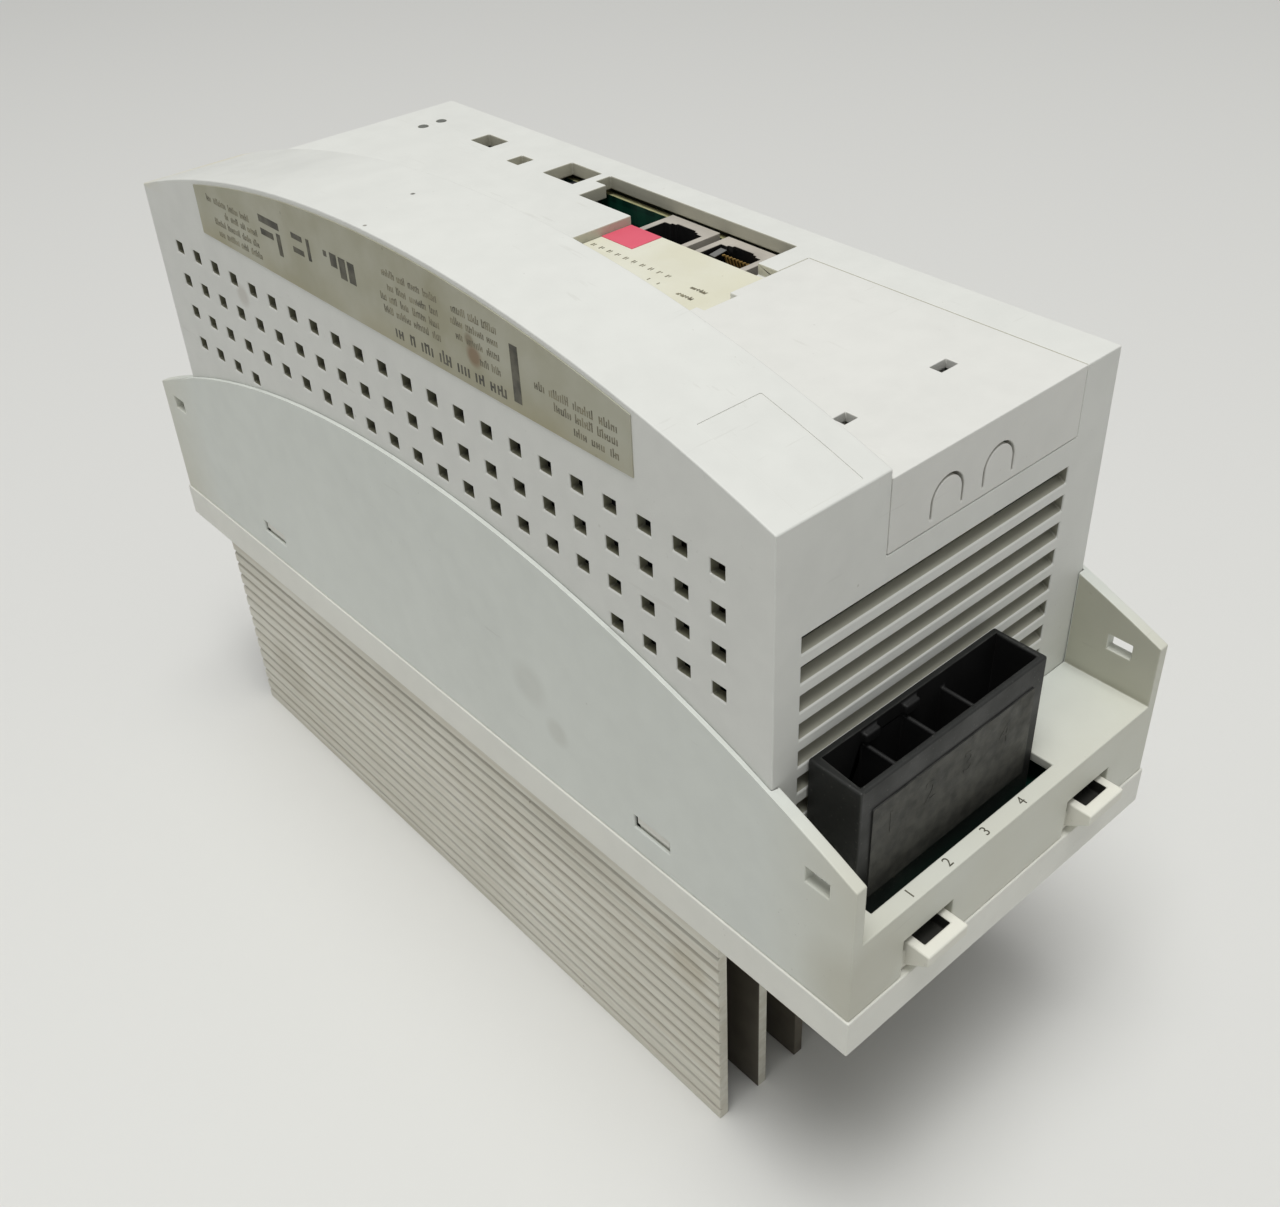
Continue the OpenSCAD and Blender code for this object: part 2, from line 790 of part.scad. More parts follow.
// ---- Control board and what it carries ----

module control_board() {
    color("#14463a")
        span([control_x, control_y0, control_z0], [control_x + board_t, control_y1, control_top]);
}

module board_link() {
    color("#1d1f21")
        span([control_x - 5, -34, power_board_top], [control_x, 12, power_board_top + 9]);
}

// Data jack at y: a block with a socket, stepped towards the board for the plug's tab
module jack(y) {
    steps = [[4.2, 1.2], [3, 2.3]];
    x0 = socket_x0;
    z0 = jack_top - socket_d;
    color("#b5b0a4")
        difference() {
            span([jack_x0, y - jack_w / 2, jack_top - jack_l], [jack_x1, y + jack_w / 2, jack_top]);
            span([x0, y - socket_w / 2, z0], [socket_x1 - 0.6, y + socket_w / 2, jack_top + 1]);
            for (s = steps)
                span([x0, y - s[0], z0], [socket_x1 - 0.6 + s[1] / 2, y + s[0], jack_top + 1]);
            for (s = [-1, 1])
                span([jack_x0 + 3, y + s * jack_w / 2 - 0.5, jack_top - jack_l + 2],
                    [jack_x1 - 3, y + s * jack_w / 2 + 0.5, jack_top - 3]);
        }
}

// Sprung wires that lean into the socket from its side away from the board
module jack_wires(y) {
    lean = 8;
    run = 9;
    color("#c9a23c")
        for (i = [0 : wire_count - 1])
            translate([socket_x0, y + (i - (wire_count - 1) / 2) * wire_pitch - wire_t / 2,
                jack_top - socket_d + 0.3])
                rotate([0, lean, 0]) cube([wire_t, wire_t, run]);
}

module front_jack() { jack(front_jack_y); }
module rear_jack() { jack(rear_jack_y); }
module front_jack_contacts() { jack_wires(front_jack_y); }
module rear_jack_contacts() { jack_wires(rear_jack_y); }

module terminal_block() {
    block_z0 = 137;
    color("#46705a")
        difference() {
            span([block_x0, block_y0, block_z0],
                [control_x, block_y0 + block_ways * block_pitch, block_top]);
            for (i = [0 : block_ways - 1])
                translate([block_x0, block_y0 + (i + 0.5) * block_pitch, 0]) {
                    translate([6, 0, block_top - 4]) cylinder(r = 2, h = 6, $fn = smooth);
                    translate([-1, -1.7, block_z0 + 2.5]) cube([7.5, 3.4, 4]);
                }
        }
}

module terminal_screws() {
    color("#a9abad")
        for (i = [0 : block_ways - 1])
            translate([block_x0 + 6, block_y0 + (i + 0.5) * block_pitch, block_top - 4])
                difference() {
                    cylinder(r = 1.85, h = 2.4, $fn = smooth);
                    translate([-2.5, -0.3, 1.6]) cube([5, 0.6, 2]);
                }
}

// Ten-position coding switch under the largest window
module address_switch() {
    color("#1f2123")
        difference() {
            span([27, 31.6, 148], [control_x, 41.6, 157.9]);
            translate([dial_at.x, dial_at.y, 154.9]) cylinder(r = dial_r + 0.08, h = 5, $fn = smooth);
        }
}

module address_dial() {
    color("#d9d6c6")
        translate([dial_at.x, dial_at.y, 154.9])
            difference() {
                cylinder(r = dial_r, h = 3.4, $fn = smooth);
                translate([-2.2, -0.4, 2.4]) cube([4.4, 0.8, 2]);
                translate([1, 0, 2.4]) cylinder(r = 1.1, h = 2, $fn = 3);
            }
}

// Two small sliders side by side under the rear window
module mode_switch() {
    color("#1f2123")
        difference() {
            span([mode_at.x - 4.2, mode_at.y - 4.7, 148], [control_x, mode_at.y + 4.7, 157.9]);
            for (dy = mode_slots)
                span([mode_at.x - 2.1, mode_at.y + dy - 0.8, 156.3],
                    [mode_at.x + 2.1, mode_at.y + dy + 0.8, 159]);
        }
}

module mode_slider(dy) {
    color("#ece9dc")
        span([mode_at.x - 2, mode_at.y + dy - 0.7, 156.3],
            [mode_at.x - 0.1, mode_at.y + dy + 0.7, 158.6]);
}

module mode_slider_1() { mode_slider(mode_slots[0]); }
module mode_slider_2() { mode_slider(mode_slots[1]); }

module reset_switch() {
    color("#2a2c2e")
        difference() {
            span([25.5, 49.6, 150], [control_x, 55.6, 156.4]);
            translate([button_at.x, button_at.y, 154.4]) cylinder(r = 1.58, h = 5, $fn = smooth);
        }
}

module reset_button() {
    color("#c8c5b6")
        translate([button_at.x, button_at.y, 155]) cylinder(r = 1.5, h = 4.5, $fn = smooth);
}

module status_leds() {
    color("#b9c88c")
        for (x = led_xs)
            translate([x, led_y, 150]) {
                cylinder(r = 1.5, h = 6.4, $fn = smooth);
                foot_l = x == led_xs[0] ? control_x - x - 3.8 : control_x - x + 2;
                translate([-2, -2, -1.5]) cube([foot_l, 4, 1.5]);
            }
}

module light_pipes() {
    color("#8d9088")
        for (x = led_xs)
            translate([x, led_y, 156.8]) cylinder(r = pipe_r, h = top_z - 156.8, $fn = smooth);
}

// Film that keeps the power parts away from the control board
module insulation_sheet() {
    color("#d9d2b4") span([20, -96, power_board_top + 1], [20.4, 96, 146]);
}

heat_sink();
heat_sink_screws();
base_frame();
threaded_inserts();
latch_front_left();
latch_front_right();
latch_back_left();
latch_back_right();
lower_shell();
hood();
terminal_lid();
side_label();
port_label();
pink_sticker();
motor_connector();
motor_contacts();
supply_connector();
supply_contacts();
power_board();
power_module();
thermal_pad();
module_screws();
board_standoffs();
board_screws();
dc_link_capacitors();
transformer_core();
transformer_winding();
choke_core();
choke_winding();
relay();
current_sensors();
control_board();
board_link();
front_jack();
front_jack_contacts();
rear_jack();
rear_jack_contacts();
terminal_block();
terminal_screws();
address_switch();
address_dial();
mode_switch();
mode_slider_1();
mode_slider_2();
reset_switch();
reset_button();
status_leds();
light_pipes();
insulation_sheet();
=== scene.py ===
import math
import random
from functools import partial

import bmesh
import bpy
from mathutils import Euler, Matrix, Vector


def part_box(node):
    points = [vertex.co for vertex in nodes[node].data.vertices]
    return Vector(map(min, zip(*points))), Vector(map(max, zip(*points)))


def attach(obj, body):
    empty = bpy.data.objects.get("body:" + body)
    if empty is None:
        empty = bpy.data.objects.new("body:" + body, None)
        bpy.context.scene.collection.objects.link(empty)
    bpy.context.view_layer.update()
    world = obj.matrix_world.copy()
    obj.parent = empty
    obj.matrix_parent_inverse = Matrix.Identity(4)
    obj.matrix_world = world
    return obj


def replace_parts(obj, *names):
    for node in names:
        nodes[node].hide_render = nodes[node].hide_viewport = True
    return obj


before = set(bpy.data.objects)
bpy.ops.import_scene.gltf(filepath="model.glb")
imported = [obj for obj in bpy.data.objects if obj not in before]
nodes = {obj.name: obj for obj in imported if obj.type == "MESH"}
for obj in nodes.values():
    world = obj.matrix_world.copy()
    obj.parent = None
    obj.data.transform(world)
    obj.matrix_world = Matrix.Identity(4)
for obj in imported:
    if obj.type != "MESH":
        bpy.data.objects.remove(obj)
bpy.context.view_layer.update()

MM = 0.001


def lo_hi(node):
    """A node's two corners in millimetres."""
    lo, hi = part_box(node)
    return Vector(lo) / MM, Vector(hi) / MM


# ---- Camera, floor and light ----

def add_camera():
    """The photograph's camera, worked out from the casing's edges and corners."""
    data = bpy.data.cameras.new("camera")
    data.lens = 39.53
    data.sensor_width = 36
    data.shift_x = -0.0091
    data.shift_y = -0.0264
    data.clip_start = 0.01
    camera = bpy.data.objects.new("camera", data)
    camera.location = (-0.1649, -0.2171, 0.2797)
    turn_deg = (53.957, 2.171, -41.879)
    camera.rotation_euler = Euler(math.radians(angle) for angle in turn_deg)
    bpy.context.scene.collection.objects.link(camera)
    bpy.context.scene.camera = camera


def add_floor():
    """The plain pale floor that the fins stand on."""
    half = 1.6
    corners = [(-half, -half, 0), (half, -half, 0), (half, half, 0), (-half, half, 0)]
    mesh = bpy.data.meshes.new("floor")
    mesh.from_pydata(corners, [], [(0, 1, 2, 3)])
    floor = bpy.data.objects.new("floor", mesh)
    bpy.context.scene.collection.objects.link(floor)
    mat = bpy.data.materials.new("floor_paint")
    mat.use_nodes = True
    shader = mat.node_tree.nodes["Principled BSDF"]
    shader.inputs["Base Color"].default_value = linear((226, 226, 223))
    shader.inputs["Roughness"].default_value = 0.6
    floor.data.materials.append(mat)


def add_light(name, at, aim, size, power, tint):
    """A rectangular area light at one point, aimed at another."""
    data = bpy.data.lights.new(name, "AREA")
    data.shape = "RECTANGLE"
    data.size = size[0]
    data.size_y = size[1]
    data.energy = power
    data.color = tint
    light = bpy.data.objects.new(name, data)
    light.location = at
    light.rotation_euler = (Vector(aim) - Vector(at)).to_track_quat("-Z", "Y").to_euler()
    bpy.context.scene.collection.objects.link(light)


def add_world(overhead, horizon):
    """A room that is brighter overhead than at eye level."""
    world = bpy.data.worlds.new("studio")
    world.use_nodes = True
    tree = world.node_tree
    back = tree.nodes["Background"]
    coord = tree.nodes.new("ShaderNodeTexCoord")
    split = tree.nodes.new("ShaderNodeSeparateXYZ")
    height = tree.nodes.new("ShaderNodeMapRange")
    height.inputs["From Min"].default_value = 0.0
    height.inputs["From Max"].default_value = 0.9
    height.inputs["To Min"].default_value = horizon
    height.inputs["To Max"].default_value = overhead
    tree.links.new(coord.outputs["Generated"], split.inputs[0])
    tree.links.new(split.outputs["Z"], height.inputs["Value"])
    tree.links.new(height.outputs["Result"], back.inputs["Strength"])
    back.inputs["Color"].default_value = (1.0, 1.0, 0.99, 1)
    bpy.context.scene.world = world


# ---- Materials ----

def linear(srgb):
    """An 8-bit sRGB colour as the linear colour that a shader takes."""
    out = []
    for v in srgb:
        c = v / 255
        out.append(c / 12.92 if c <= 0.04045 else ((c + 0.055) / 1.055) ** 2.4)
    return (*out, 1.0)


def scaled(colour, factor):
    """A colour made darker or lighter."""
    return tuple(min(255, c * factor) for c in colour)


class Surface:
    """A procedural material on one Principled shader, mapped by the object's coordinates in metres.

    Each layer is mixed over the ones before it, and done() connects what has been gathered.
    """

    def __init__(self, name, colour, rough=0.5, metal=0.0, spec=0.5):
        self.mat = bpy.data.materials.new(name)
        self.mat.use_nodes = True
        self.mat.diffuse_color = linear(colour)
        self.tree = self.mat.node_tree
        self.shader = self.tree.nodes["Principled BSDF"]
        self.shader.inputs["Metallic"].default_value = metal
        self.shader.inputs["Specular IOR Level"].default_value = spec
        self.shader.inputs["Roughness"].default_value = rough
        self.coord = self.tree.nodes.new("ShaderNodeTexCoord").outputs["Object"]
        self.colour = linear(colour)
        self.normal = None
        self.rough = rough

    def put(self, socket, value):
        """Links a socket to another one, or sets it to a plain value."""
        if isinstance(value, bpy.types.NodeSocket):
            self.tree.links.new(value, socket)
        else:
            socket.default_value = value

    def place(self, stretch=(1, 1, 1), shift=0.0):
        """The object's coordinates, stretched by axis and moved so that no two layers line up."""
        mapping = self.tree.nodes.new("ShaderNodeMapping")
        mapping.inputs["Scale"].default_value = stretch
        mapping.inputs["Location"].default_value = (shift, shift * 0.7, shift * 0.3)
        self.put(mapping.inputs["Vector"], self.coord)
        return mapping.outputs[0]

    def noise(self, scale, detail=2.0, rough=0.5, stretch=(1, 1, 1), shift=0.0):
        node = self.tree.nodes.new("ShaderNodeTexNoise")
        node.inputs["Scale"].default_value = scale
        node.inputs["Detail"].default_value = detail
        node.inputs["Roughness"].default_value = rough
        self.put(node.inputs["Vector"], self.place(stretch, shift))
        return node.outputs["Fac"]

    def cells(self, scale, shift):
        node = self.tree.nodes.new("ShaderNodeTexVoronoi")
        node.inputs["Scale"].default_value = scale
        self.put(node.inputs["Vector"], self.place(shift=shift))
        return node.outputs["Distance"]

    def band(self, value, lo, hi, out_lo=0.0, out_hi=1.0):
        """Maps one range of a value onto another, held at both ends."""
        node = self.tree.nodes.new("ShaderNodeMapRange")
        self.put(node.inputs["Value"], value)
        node.inputs["From Min"].default_value = lo
        node.inputs["From Max"].default_value = hi
        node.inputs["To Min"].default_value = out_lo
        node.inputs["To Max"].default_value = out_hi
        return node.outputs["Result"]

    def times(self, a, b):
        node = self.tree.nodes.new("ShaderNodeMath")
        node.operation = "MULTIPLY"
        self.put(node.inputs[0], a)
        self.put(node.inputs[1], b)
        return node.outputs[0]

    def axis(self, name):
        """One of the object's coordinates: X, Y or Z."""
        node = self.tree.nodes.new("ShaderNodeSeparateXYZ")
        self.put(node.inputs[0], self.coord)
        return node.outputs[name]

    def tint(self, mask, colour):
        """Mixes the colour so far towards another one where the mask is bright."""
        first_colour, second_colour, mixed_colour = 6, 7, 2
        node = self.tree.nodes.new("ShaderNodeMix")
        node.data_type = "RGBA"
        self.put(node.inputs["Factor"], mask)
        self.put(node.inputs[first_colour], self.colour)
        self.put(node.inputs[second_colour], linear(colour))
        self.colour = node.outputs[mixed_colour]
        return self

    def mottle(self, colour, scale, amount, **more):
        """Soft patches of another colour."""
        return self.tint(self.band(self.noise(scale, **more), 0.35, 0.65, 0, amount), colour)

    def specks(self, scale, size, amount, colour, shift=0.0, sparse=0.5):
        """Small round marks, one to a cell, kept where a slower noise is high."""
        clump = 25
        dots = self.band(self.cells(scale, shift), size * 0.6, size, amount, 0)
        keep = self.band(self.noise(clump, shift=shift + 3), sparse, sparse + 0.06)
        return self.tint(self.times(dots, keep), colour)

    def scuffs(self, stretch, amount, colour, shift=0.0):
        """Fine streaks that run along the axis with the smallest stretch."""
        lo = 0.66
        streak = self.band(self.noise(1.0, 3.0, 0.6, stretch, shift), lo, lo + 0.05, 0, amount)
        keep = self.band(self.noise(22, shift=shift + 9), 0.52, 0.62)
        return self.tint(self.times(streak, keep), colour)

    def spot(self, at_mm, radius_mm, colour, amount):
        """A round patch of another colour at one place."""
        node = self.tree.nodes.new("ShaderNodeVectorMath")
        node.operation = "DISTANCE"
        self.put(node.inputs[0], self.coord)
        node.inputs[1].default_value = Vector(at_mm) * MM
        near = self.band(node.outputs["Value"], radius_mm * 0.5 * MM, radius_mm * MM, amount, 0)
        return self.tint(near, colour)

    def grime_and_shade(self, distance_mm, amount, colour):
        """Dirt and painted shade where the surface is hemmed in by its own shape: darker by ambient
        occlusion.
        """
        node = self.tree.nodes.new("ShaderNodeAmbientOcclusion")
        node.samples = 4
        node.only_local = True
        node.inputs["Distance"].default_value = distance_mm * MM
        open_part = self.band(node.outputs["AO"], 0.35, 0.95, amount, 0)
        patchy = self.band(self.noise(120, 3.0), 0.3, 0.6, 0.45, 1.0)
        return self.tint(self.times(open_part, patchy), colour)

    def wear(self, radius_mm, amount, colour):
        """A change of colour along the rounded edges."""
        bevel = self.tree.nodes.new("ShaderNodeBevel")
        bevel.samples = 4
        bevel.inputs["Radius"].default_value = radius_mm * MM
        face = self.tree.nodes.new("ShaderNodeNewGeometry")
        dot = self.tree.nodes.new("ShaderNodeVectorMath")
        dot.operation = "DOT_PRODUCT"
        self.put(dot.inputs[0], bevel.outputs[0])
        self.put(dot.inputs[1], face.outputs["Normal"])
        edge = self.band(dot.outputs["Value"], 0.9, 0.995, amount, 0)
        patchy = self.band(self.noise(260, 3.0), 0.4, 0.6, 0.3, 1.0)
        return self.tint(self.times(edge, patchy), colour)

    def bump(self, height, distance_mm, strength):
        node = self.tree.nodes.new("ShaderNodeBump")
        node.inputs["Strength"].default_value = strength
        node.inputs["Distance"].default_value = distance_mm * MM
        self.put(node.inputs["Height"], height)
        if self.normal is not None:
            self.put(node.inputs["Normal"], self.normal)
        self.normal = node.outputs[0]
        return self

    def gloss(self, value, lo, hi):
        """Roughness between two levels."""
        self.rough = self.band(value, 0.3, 0.7, lo, hi)
        return self

    def done(self):
        """Connects the gathered layers to the shader."""
        self.put(self.shader.inputs["Base Color"], self.colour)
        self.put(self.shader.inputs["Roughness"], self.rough)
        if self.normal is not None:
            self.put(self.shader.inputs["Normal"], self.normal)
        return self.mat


def moulded(name, colour, soil_and_shade, soil_and_shade_amount, worn=(235, 235, 230), grain=0.03):
    """Painted or moulded casing plastic: mottled, lightly soiled, with painted shade in its hollows and a
    fine spark-eroded grain.
    """
    s = Surface(name, colour, spec=0.4)
    s.mottle(scaled(colour, 0.955), 14, 0.55, detail=4.0)
    s.mottle(scaled(colour, 1.02), 160, 0.4, detail=3.0, shift=4.0)
    s.scuffs((45, 700, 700), 0.16 * soil_and_shade_amount, soil_and_shade, shift=1.0)
    s.scuffs((600, 60, 600), 0.14 * soil_and_shade_amount, soil_and_shade, shift=6.0)
    s.specks(95, 0.035, 0.55 * soil_and_shade_amount, soil_and_shade, sparse=0.5)
    s.specks(330, 0.06, 0.35 * soil_and_shade_amount, soil_and_shade, shift=2.0, sparse=0.54)
    # Dirt and painted shade in the hollows.
    s.grime_and_shade(2.2, 0.55 * soil_and_shade_amount, soil_and_shade)
    s.wear(0.5, 0.3, worn)
    s.bump(s.noise(2600, 2.0), grain, 0.35)
    s.bump(s.noise(70, 2.0), 0.06, 0.12)
    s.gloss(s.noise(45, 4.0, shift=5.0), 0.42, 0.56)
    return s


def plain(name, colour, rough, metal=0.0, grain=900, depth=0.02):
    """An inner part: an uneven colour, a fine grain and uneven gloss."""
    s = Surface(name, colour, rough, metal)
    s.mottle(scaled(colour, 0.88), 120, 0.8, detail=4.0)
    s.specks(420, 0.07, 0.4, scaled(colour, 0.6), sparse=0.52)
    s.bump(s.noise(grain, 3.0), depth, 0.5)
    s.gloss(s.noise(150, 3.0), max(0.05, rough - 0.08), min(1.0, rough + 0.1))
    return s


HOOD = (225, 226, 221)
SHELL = (222, 226, 220)
FRAME = (233, 233, 225)
# The hood's and lid's dirt colour, also used for the painted shade in their hollows.
SOIL_AND_SHADE = (120, 112, 88)


def hood_material():
    """Yellowed at the far end of its top, with two small chips in the top and a stain on the side."""
    lo, hi = lo_hi("hood")
    top_edge = hi.z - 17.5
    chip = (-27.3, 11.0, hi.z - 0.2)
    smaller_chip = (-42.6, 4.0, hi.z)
    side_stain = (lo.x, 61, 149)
    s = moulded("hood_plastic", HOOD, SOIL_AND_SHADE, 0.5)
    far = s.band(s.axis("Y"), (hi.y - 13) * MM, (hi.y - 1) * MM, 0, 0.55)
    far = s.times(far, s.band(s.axis("Z"), top_edge * MM, (top_edge + 1) * MM))
    s.tint(s.times(far, s.band(s.noise(60, 3.0), 0.4, 0.6, 0.2, 1)), (224, 214, 176))
    s.spot(chip, 0.6, (70, 66, 56), 0.85)
    s.spot(smaller_chip, 0.5, (90, 82, 66), 0.7)
    s.spot(side_stain, 3.2, (165, 155, 140), 0.35)
    return s.done()


def shell_material():
    """Yellowed towards its two ends, with faint stains on its side and a darker patch at the left of its
    near end.
    """
    lo, hi = lo_hi("lower_shell")
    aged_length = 22
    side_stain = (lo.x, -36, 96)
    lower_stain = (lo.x, -44, 88)
    near_end_dark_patch = (-40, lo.y, 79)
    s = moulded("shell_plastic", SHELL, (112, 108, 88), 0.7, worn=(238, 240, 234))
    for outer, inner in ((lo.y, lo.y + aged_length), (hi.y, hi.y - aged_length)):
        aged = s.band(s.axis("Y"), outer * MM, inner * MM, 0.75, 0)
        s.tint(s.times(aged, s.band(s.noise(30, 3.0), 0.3, 0.7, 0.6, 1)), (208, 206, 189))
    s.spot(side_stain, 6.5, (178, 178, 168), 0.2)
    s.spot(lower_stain, 4.0, (168, 166, 154), 0.22)
    # A darker patch at the left of the near end.
    s.spot(near_end_dark_patch, 14, (176, 172, 152), 0.35)
    return s.done()


def board_material():
    """Green solder mask with darker and lighter copper areas showing through."""
    s = Surface("board_laminate", (14, 62, 50), 0.3, spec=0.5)
    s.mottle((10, 48, 40), 60, 0.8, detail=3.0)
    run = s.band(s.noise(1.0, 0.0, 0.5, (30, 420, 30), 2.0), 0.52, 0.54, 0, 0.5)
    s.tint(run, (26, 88, 68))
    cross = s.band(s.noise(1.0, 0.0, 0.5, (30, 30, 420), 7.0), 0.55, 0.57, 0, 0.45)
    s.tint(cross, (30, 92, 72))
    s.specks(260, 0.12, 0.9, (150, 150, 130), sparse=0.5)
    s.bump(s.noise(1500, 2.0), 0.02, 0.4)
    s.gloss(s.noise(90, 3.0), 0.22, 0.42)
    return s.done()


def laminate_edge_material():
    """The layered, straw-coloured cut edge of a board."""
    s = Surface("laminate_edge", (188, 184, 140), 0.6)
    s.mottle((150, 148, 108), 300, 0.8, stretch=(1, 1, 6))
    s.bump(s.noise(1.0, 2.0, 0.5, (400, 400, 5000)), 0.03, 0.6)
    return s.done()


def sink_material():
    """Dull extruded aluminium: drawn along Y, stained and a little oxidised."""
    side_x = -42.2
    near_stain = (side_x, -78, 44)
    middle_stain = (side_x, -10, 24)
    far_stain = (side_x, 90, 22)
    s = Surface("sink_aluminium", (226, 225, 214), 0.46, 0.3, 0.5)
    s.mottle((204, 201, 186), 16, 0.8, detail=5.0, stretch=(1, 0.6, 1))
    s.mottle((178, 174, 158), 26, 0.35, detail=4.0, stretch=(1, 0.5, 1), shift=11.0)
    s.mottle((236, 235, 226), 1.0, 0.55, detail=3.0, stretch=(260, 5, 420), shift=2.0)
    s.mottle((204, 196, 180), 1.0, 0.4, detail=4.0, stretch=(420, 14, 900), shift=8.0)
    s.specks(130, 0.05, 0.5, (110, 98, 78), sparse=0.5)
    s.spot(near_stain, 7, (176, 164, 136), 0.3)
    s.spot(middle_stain, 9, (170, 166, 152), 0.22)
    s.spot(far_stain, 12, (172, 166, 148), 0.25)
    s.scuffs((300, 60, 90), 0.3, (226, 224, 218), shift=3.0)
    # Dust and painted shade in the hollows between the fins.
    s.grime_and_shade(3.0, 0.3, (112, 100, 82))
    s.wear(0.35, 0.5, (228, 224, 214))
    s.bump(s.noise(1.0, 3.0, 0.6, (500, 12, 2600)), 0.05, 0.6)
    s.bump(s.noise(1400, 2.0), 0.015, 0.4)
    s.gloss(s.noise(60, 4.0), 0.38, 0.6)
    return s.done()


def connector_material():
    """Charcoal glass-filled moulding with pale fibre flecks and rubbed edges."""
    s = Surface("connector_plastic", (40, 41, 40), 0.5, spec=0.4)
    s.mottle((33, 34, 33), 60, 0.8, detail=4.0)
    s.specks(700, 0.16, 0.3, (104, 104, 98), sparse=0.42)
    s.scuffs((500, 500, 50), 0.35, (104, 104, 98), shift=4.0)
    s.wear(0.6, 0.4, (92, 92, 88))
    s.bump(s.noise(1700, 3.0), 0.04, 0.6)
    s.gloss(s.noise(120, 3.0), 0.38, 0.6)
    return s.done()


def panel_material():
    """The eroded texture in the middle of the connector's face, paler and rougher than the rest."""
    s = Surface("connector_panel", (66, 66, 62), 0.62, spec=0.4)
    s.mottle((60, 60, 56), 1.0, 0.9, detail=5.0, stretch=(160, 160, 420))
    s.mottle((96, 95, 88), 420, 0.5, detail=4.0, shift=3.0)
    s.bump(s.noise(900, 4.0), 0.09, 0.9)
    s.gloss(s.noise(300, 3.0), 0.5, 0.75)
    return s.done()


def label_material():
    """Grey film that has yellowed, rubbed and taken up dirt, worst at its lower edge."""
    lo = lo_hi("side_label")[0]
    rust = (lo.x, -29.6, 166.8)
    smaller_rust = (lo.x, -28.6, 169.6)
    s = Surface("label_film", (176, 175, 156), 0.5)
    s.mottle((158, 154, 128), 18, 0.9, detail=5.0)
    s.mottle((190, 190, 176), 90, 0.5, detail=4.0, shift=4.0)
    low = s.band(s.axis("Z"), lo.z * MM, (lo.z + 6) * MM, 0.6, 0)
    s.tint(s.times(low, s.band(s.noise(60, 4.0), 0.35, 0.6)), (160, 152, 116))
    s.specks(210, 0.09, 0.5, (110, 100, 76), sparse=0.5)
    s.spot(rust, 2.6, (122, 88, 52), 0.7)
    s.spot(smaller_rust, 1.6, (110, 92, 62), 0.6)
    s.bump(s.noise(1100, 3.0), 0.02, 0.6)
    s.gloss(s.noise(80, 3.0), 0.38, 0.58)
    return s.done()


def paper(name, colour, darker):
    """Matt label paper with a few specks."""
    s = Surface(name, colour, 0.62)
    s.mottle(darker, 70, 0.7, detail=4.0)
    s.specks(260, 0.06, 0.3, (150, 140, 110), sparse=0.53)
    s.bump(s.noise(1900, 3.0), 0.012, 0.6)
    s.gloss(s.noise(90, 3.0), 0.5, 0.7)
    return s.done()


def ink_material(name, colour):
    """Printed ink, worn paler in patches."""
    s = Surface(name, colour, 0.55)
    s.mottle(tuple(min(255, c * 1.7 + 12) for c in colour), 380, 0.6, detail=4.0)
    s.bump(s.noise(2000, 2.0), 0.01, 0.5)
    s.gloss(s.noise(200, 2.0), 0.45, 0.65)
    return s.done()


def turned_metal(name, colour, rough):
    """Bare or plated metal with fine tool marks."""
    s = Surface(name, colour, rough, 1.0)
    s.mottle(scaled(colour, 0.75), 90, 0.7, detail=4.0)
    s.bump(s.noise(1.0, 2.0, 0.5, (900, 900, 60)), 0.02, 0.5)
    s.gloss(s.noise(140, 3.0), rough - 0.1, rough + 0.16)
    return s.done()


def winding_material(name, colour, pitch_mm):
    """Wire or tape laid in turns: a ridge every pitch."""
    wave_to_mm = 0.314
    s = Surface(name, colour, 0.35, spec=0.6)
    wave = s.tree.nodes.new("ShaderNodeTexWave")
    wave.bands_direction = "Y"
    wave.inputs["Scale"].default_value = wave_to_mm / pitch_mm
    s.put(wave.inputs["Vector"], s.place((1 / MM, 1 / MM, 1 / MM)))
    s.tint(s.band(wave.outputs["Fac"], 0.0, 0.4, 0.6, 0), scaled(colour, 0.4))
    s.mottle(scaled(colour, 0.8), 200, 0.6)
    s.bump(wave.outputs["Fac"], 0.2, 0.7)
    return s.done()


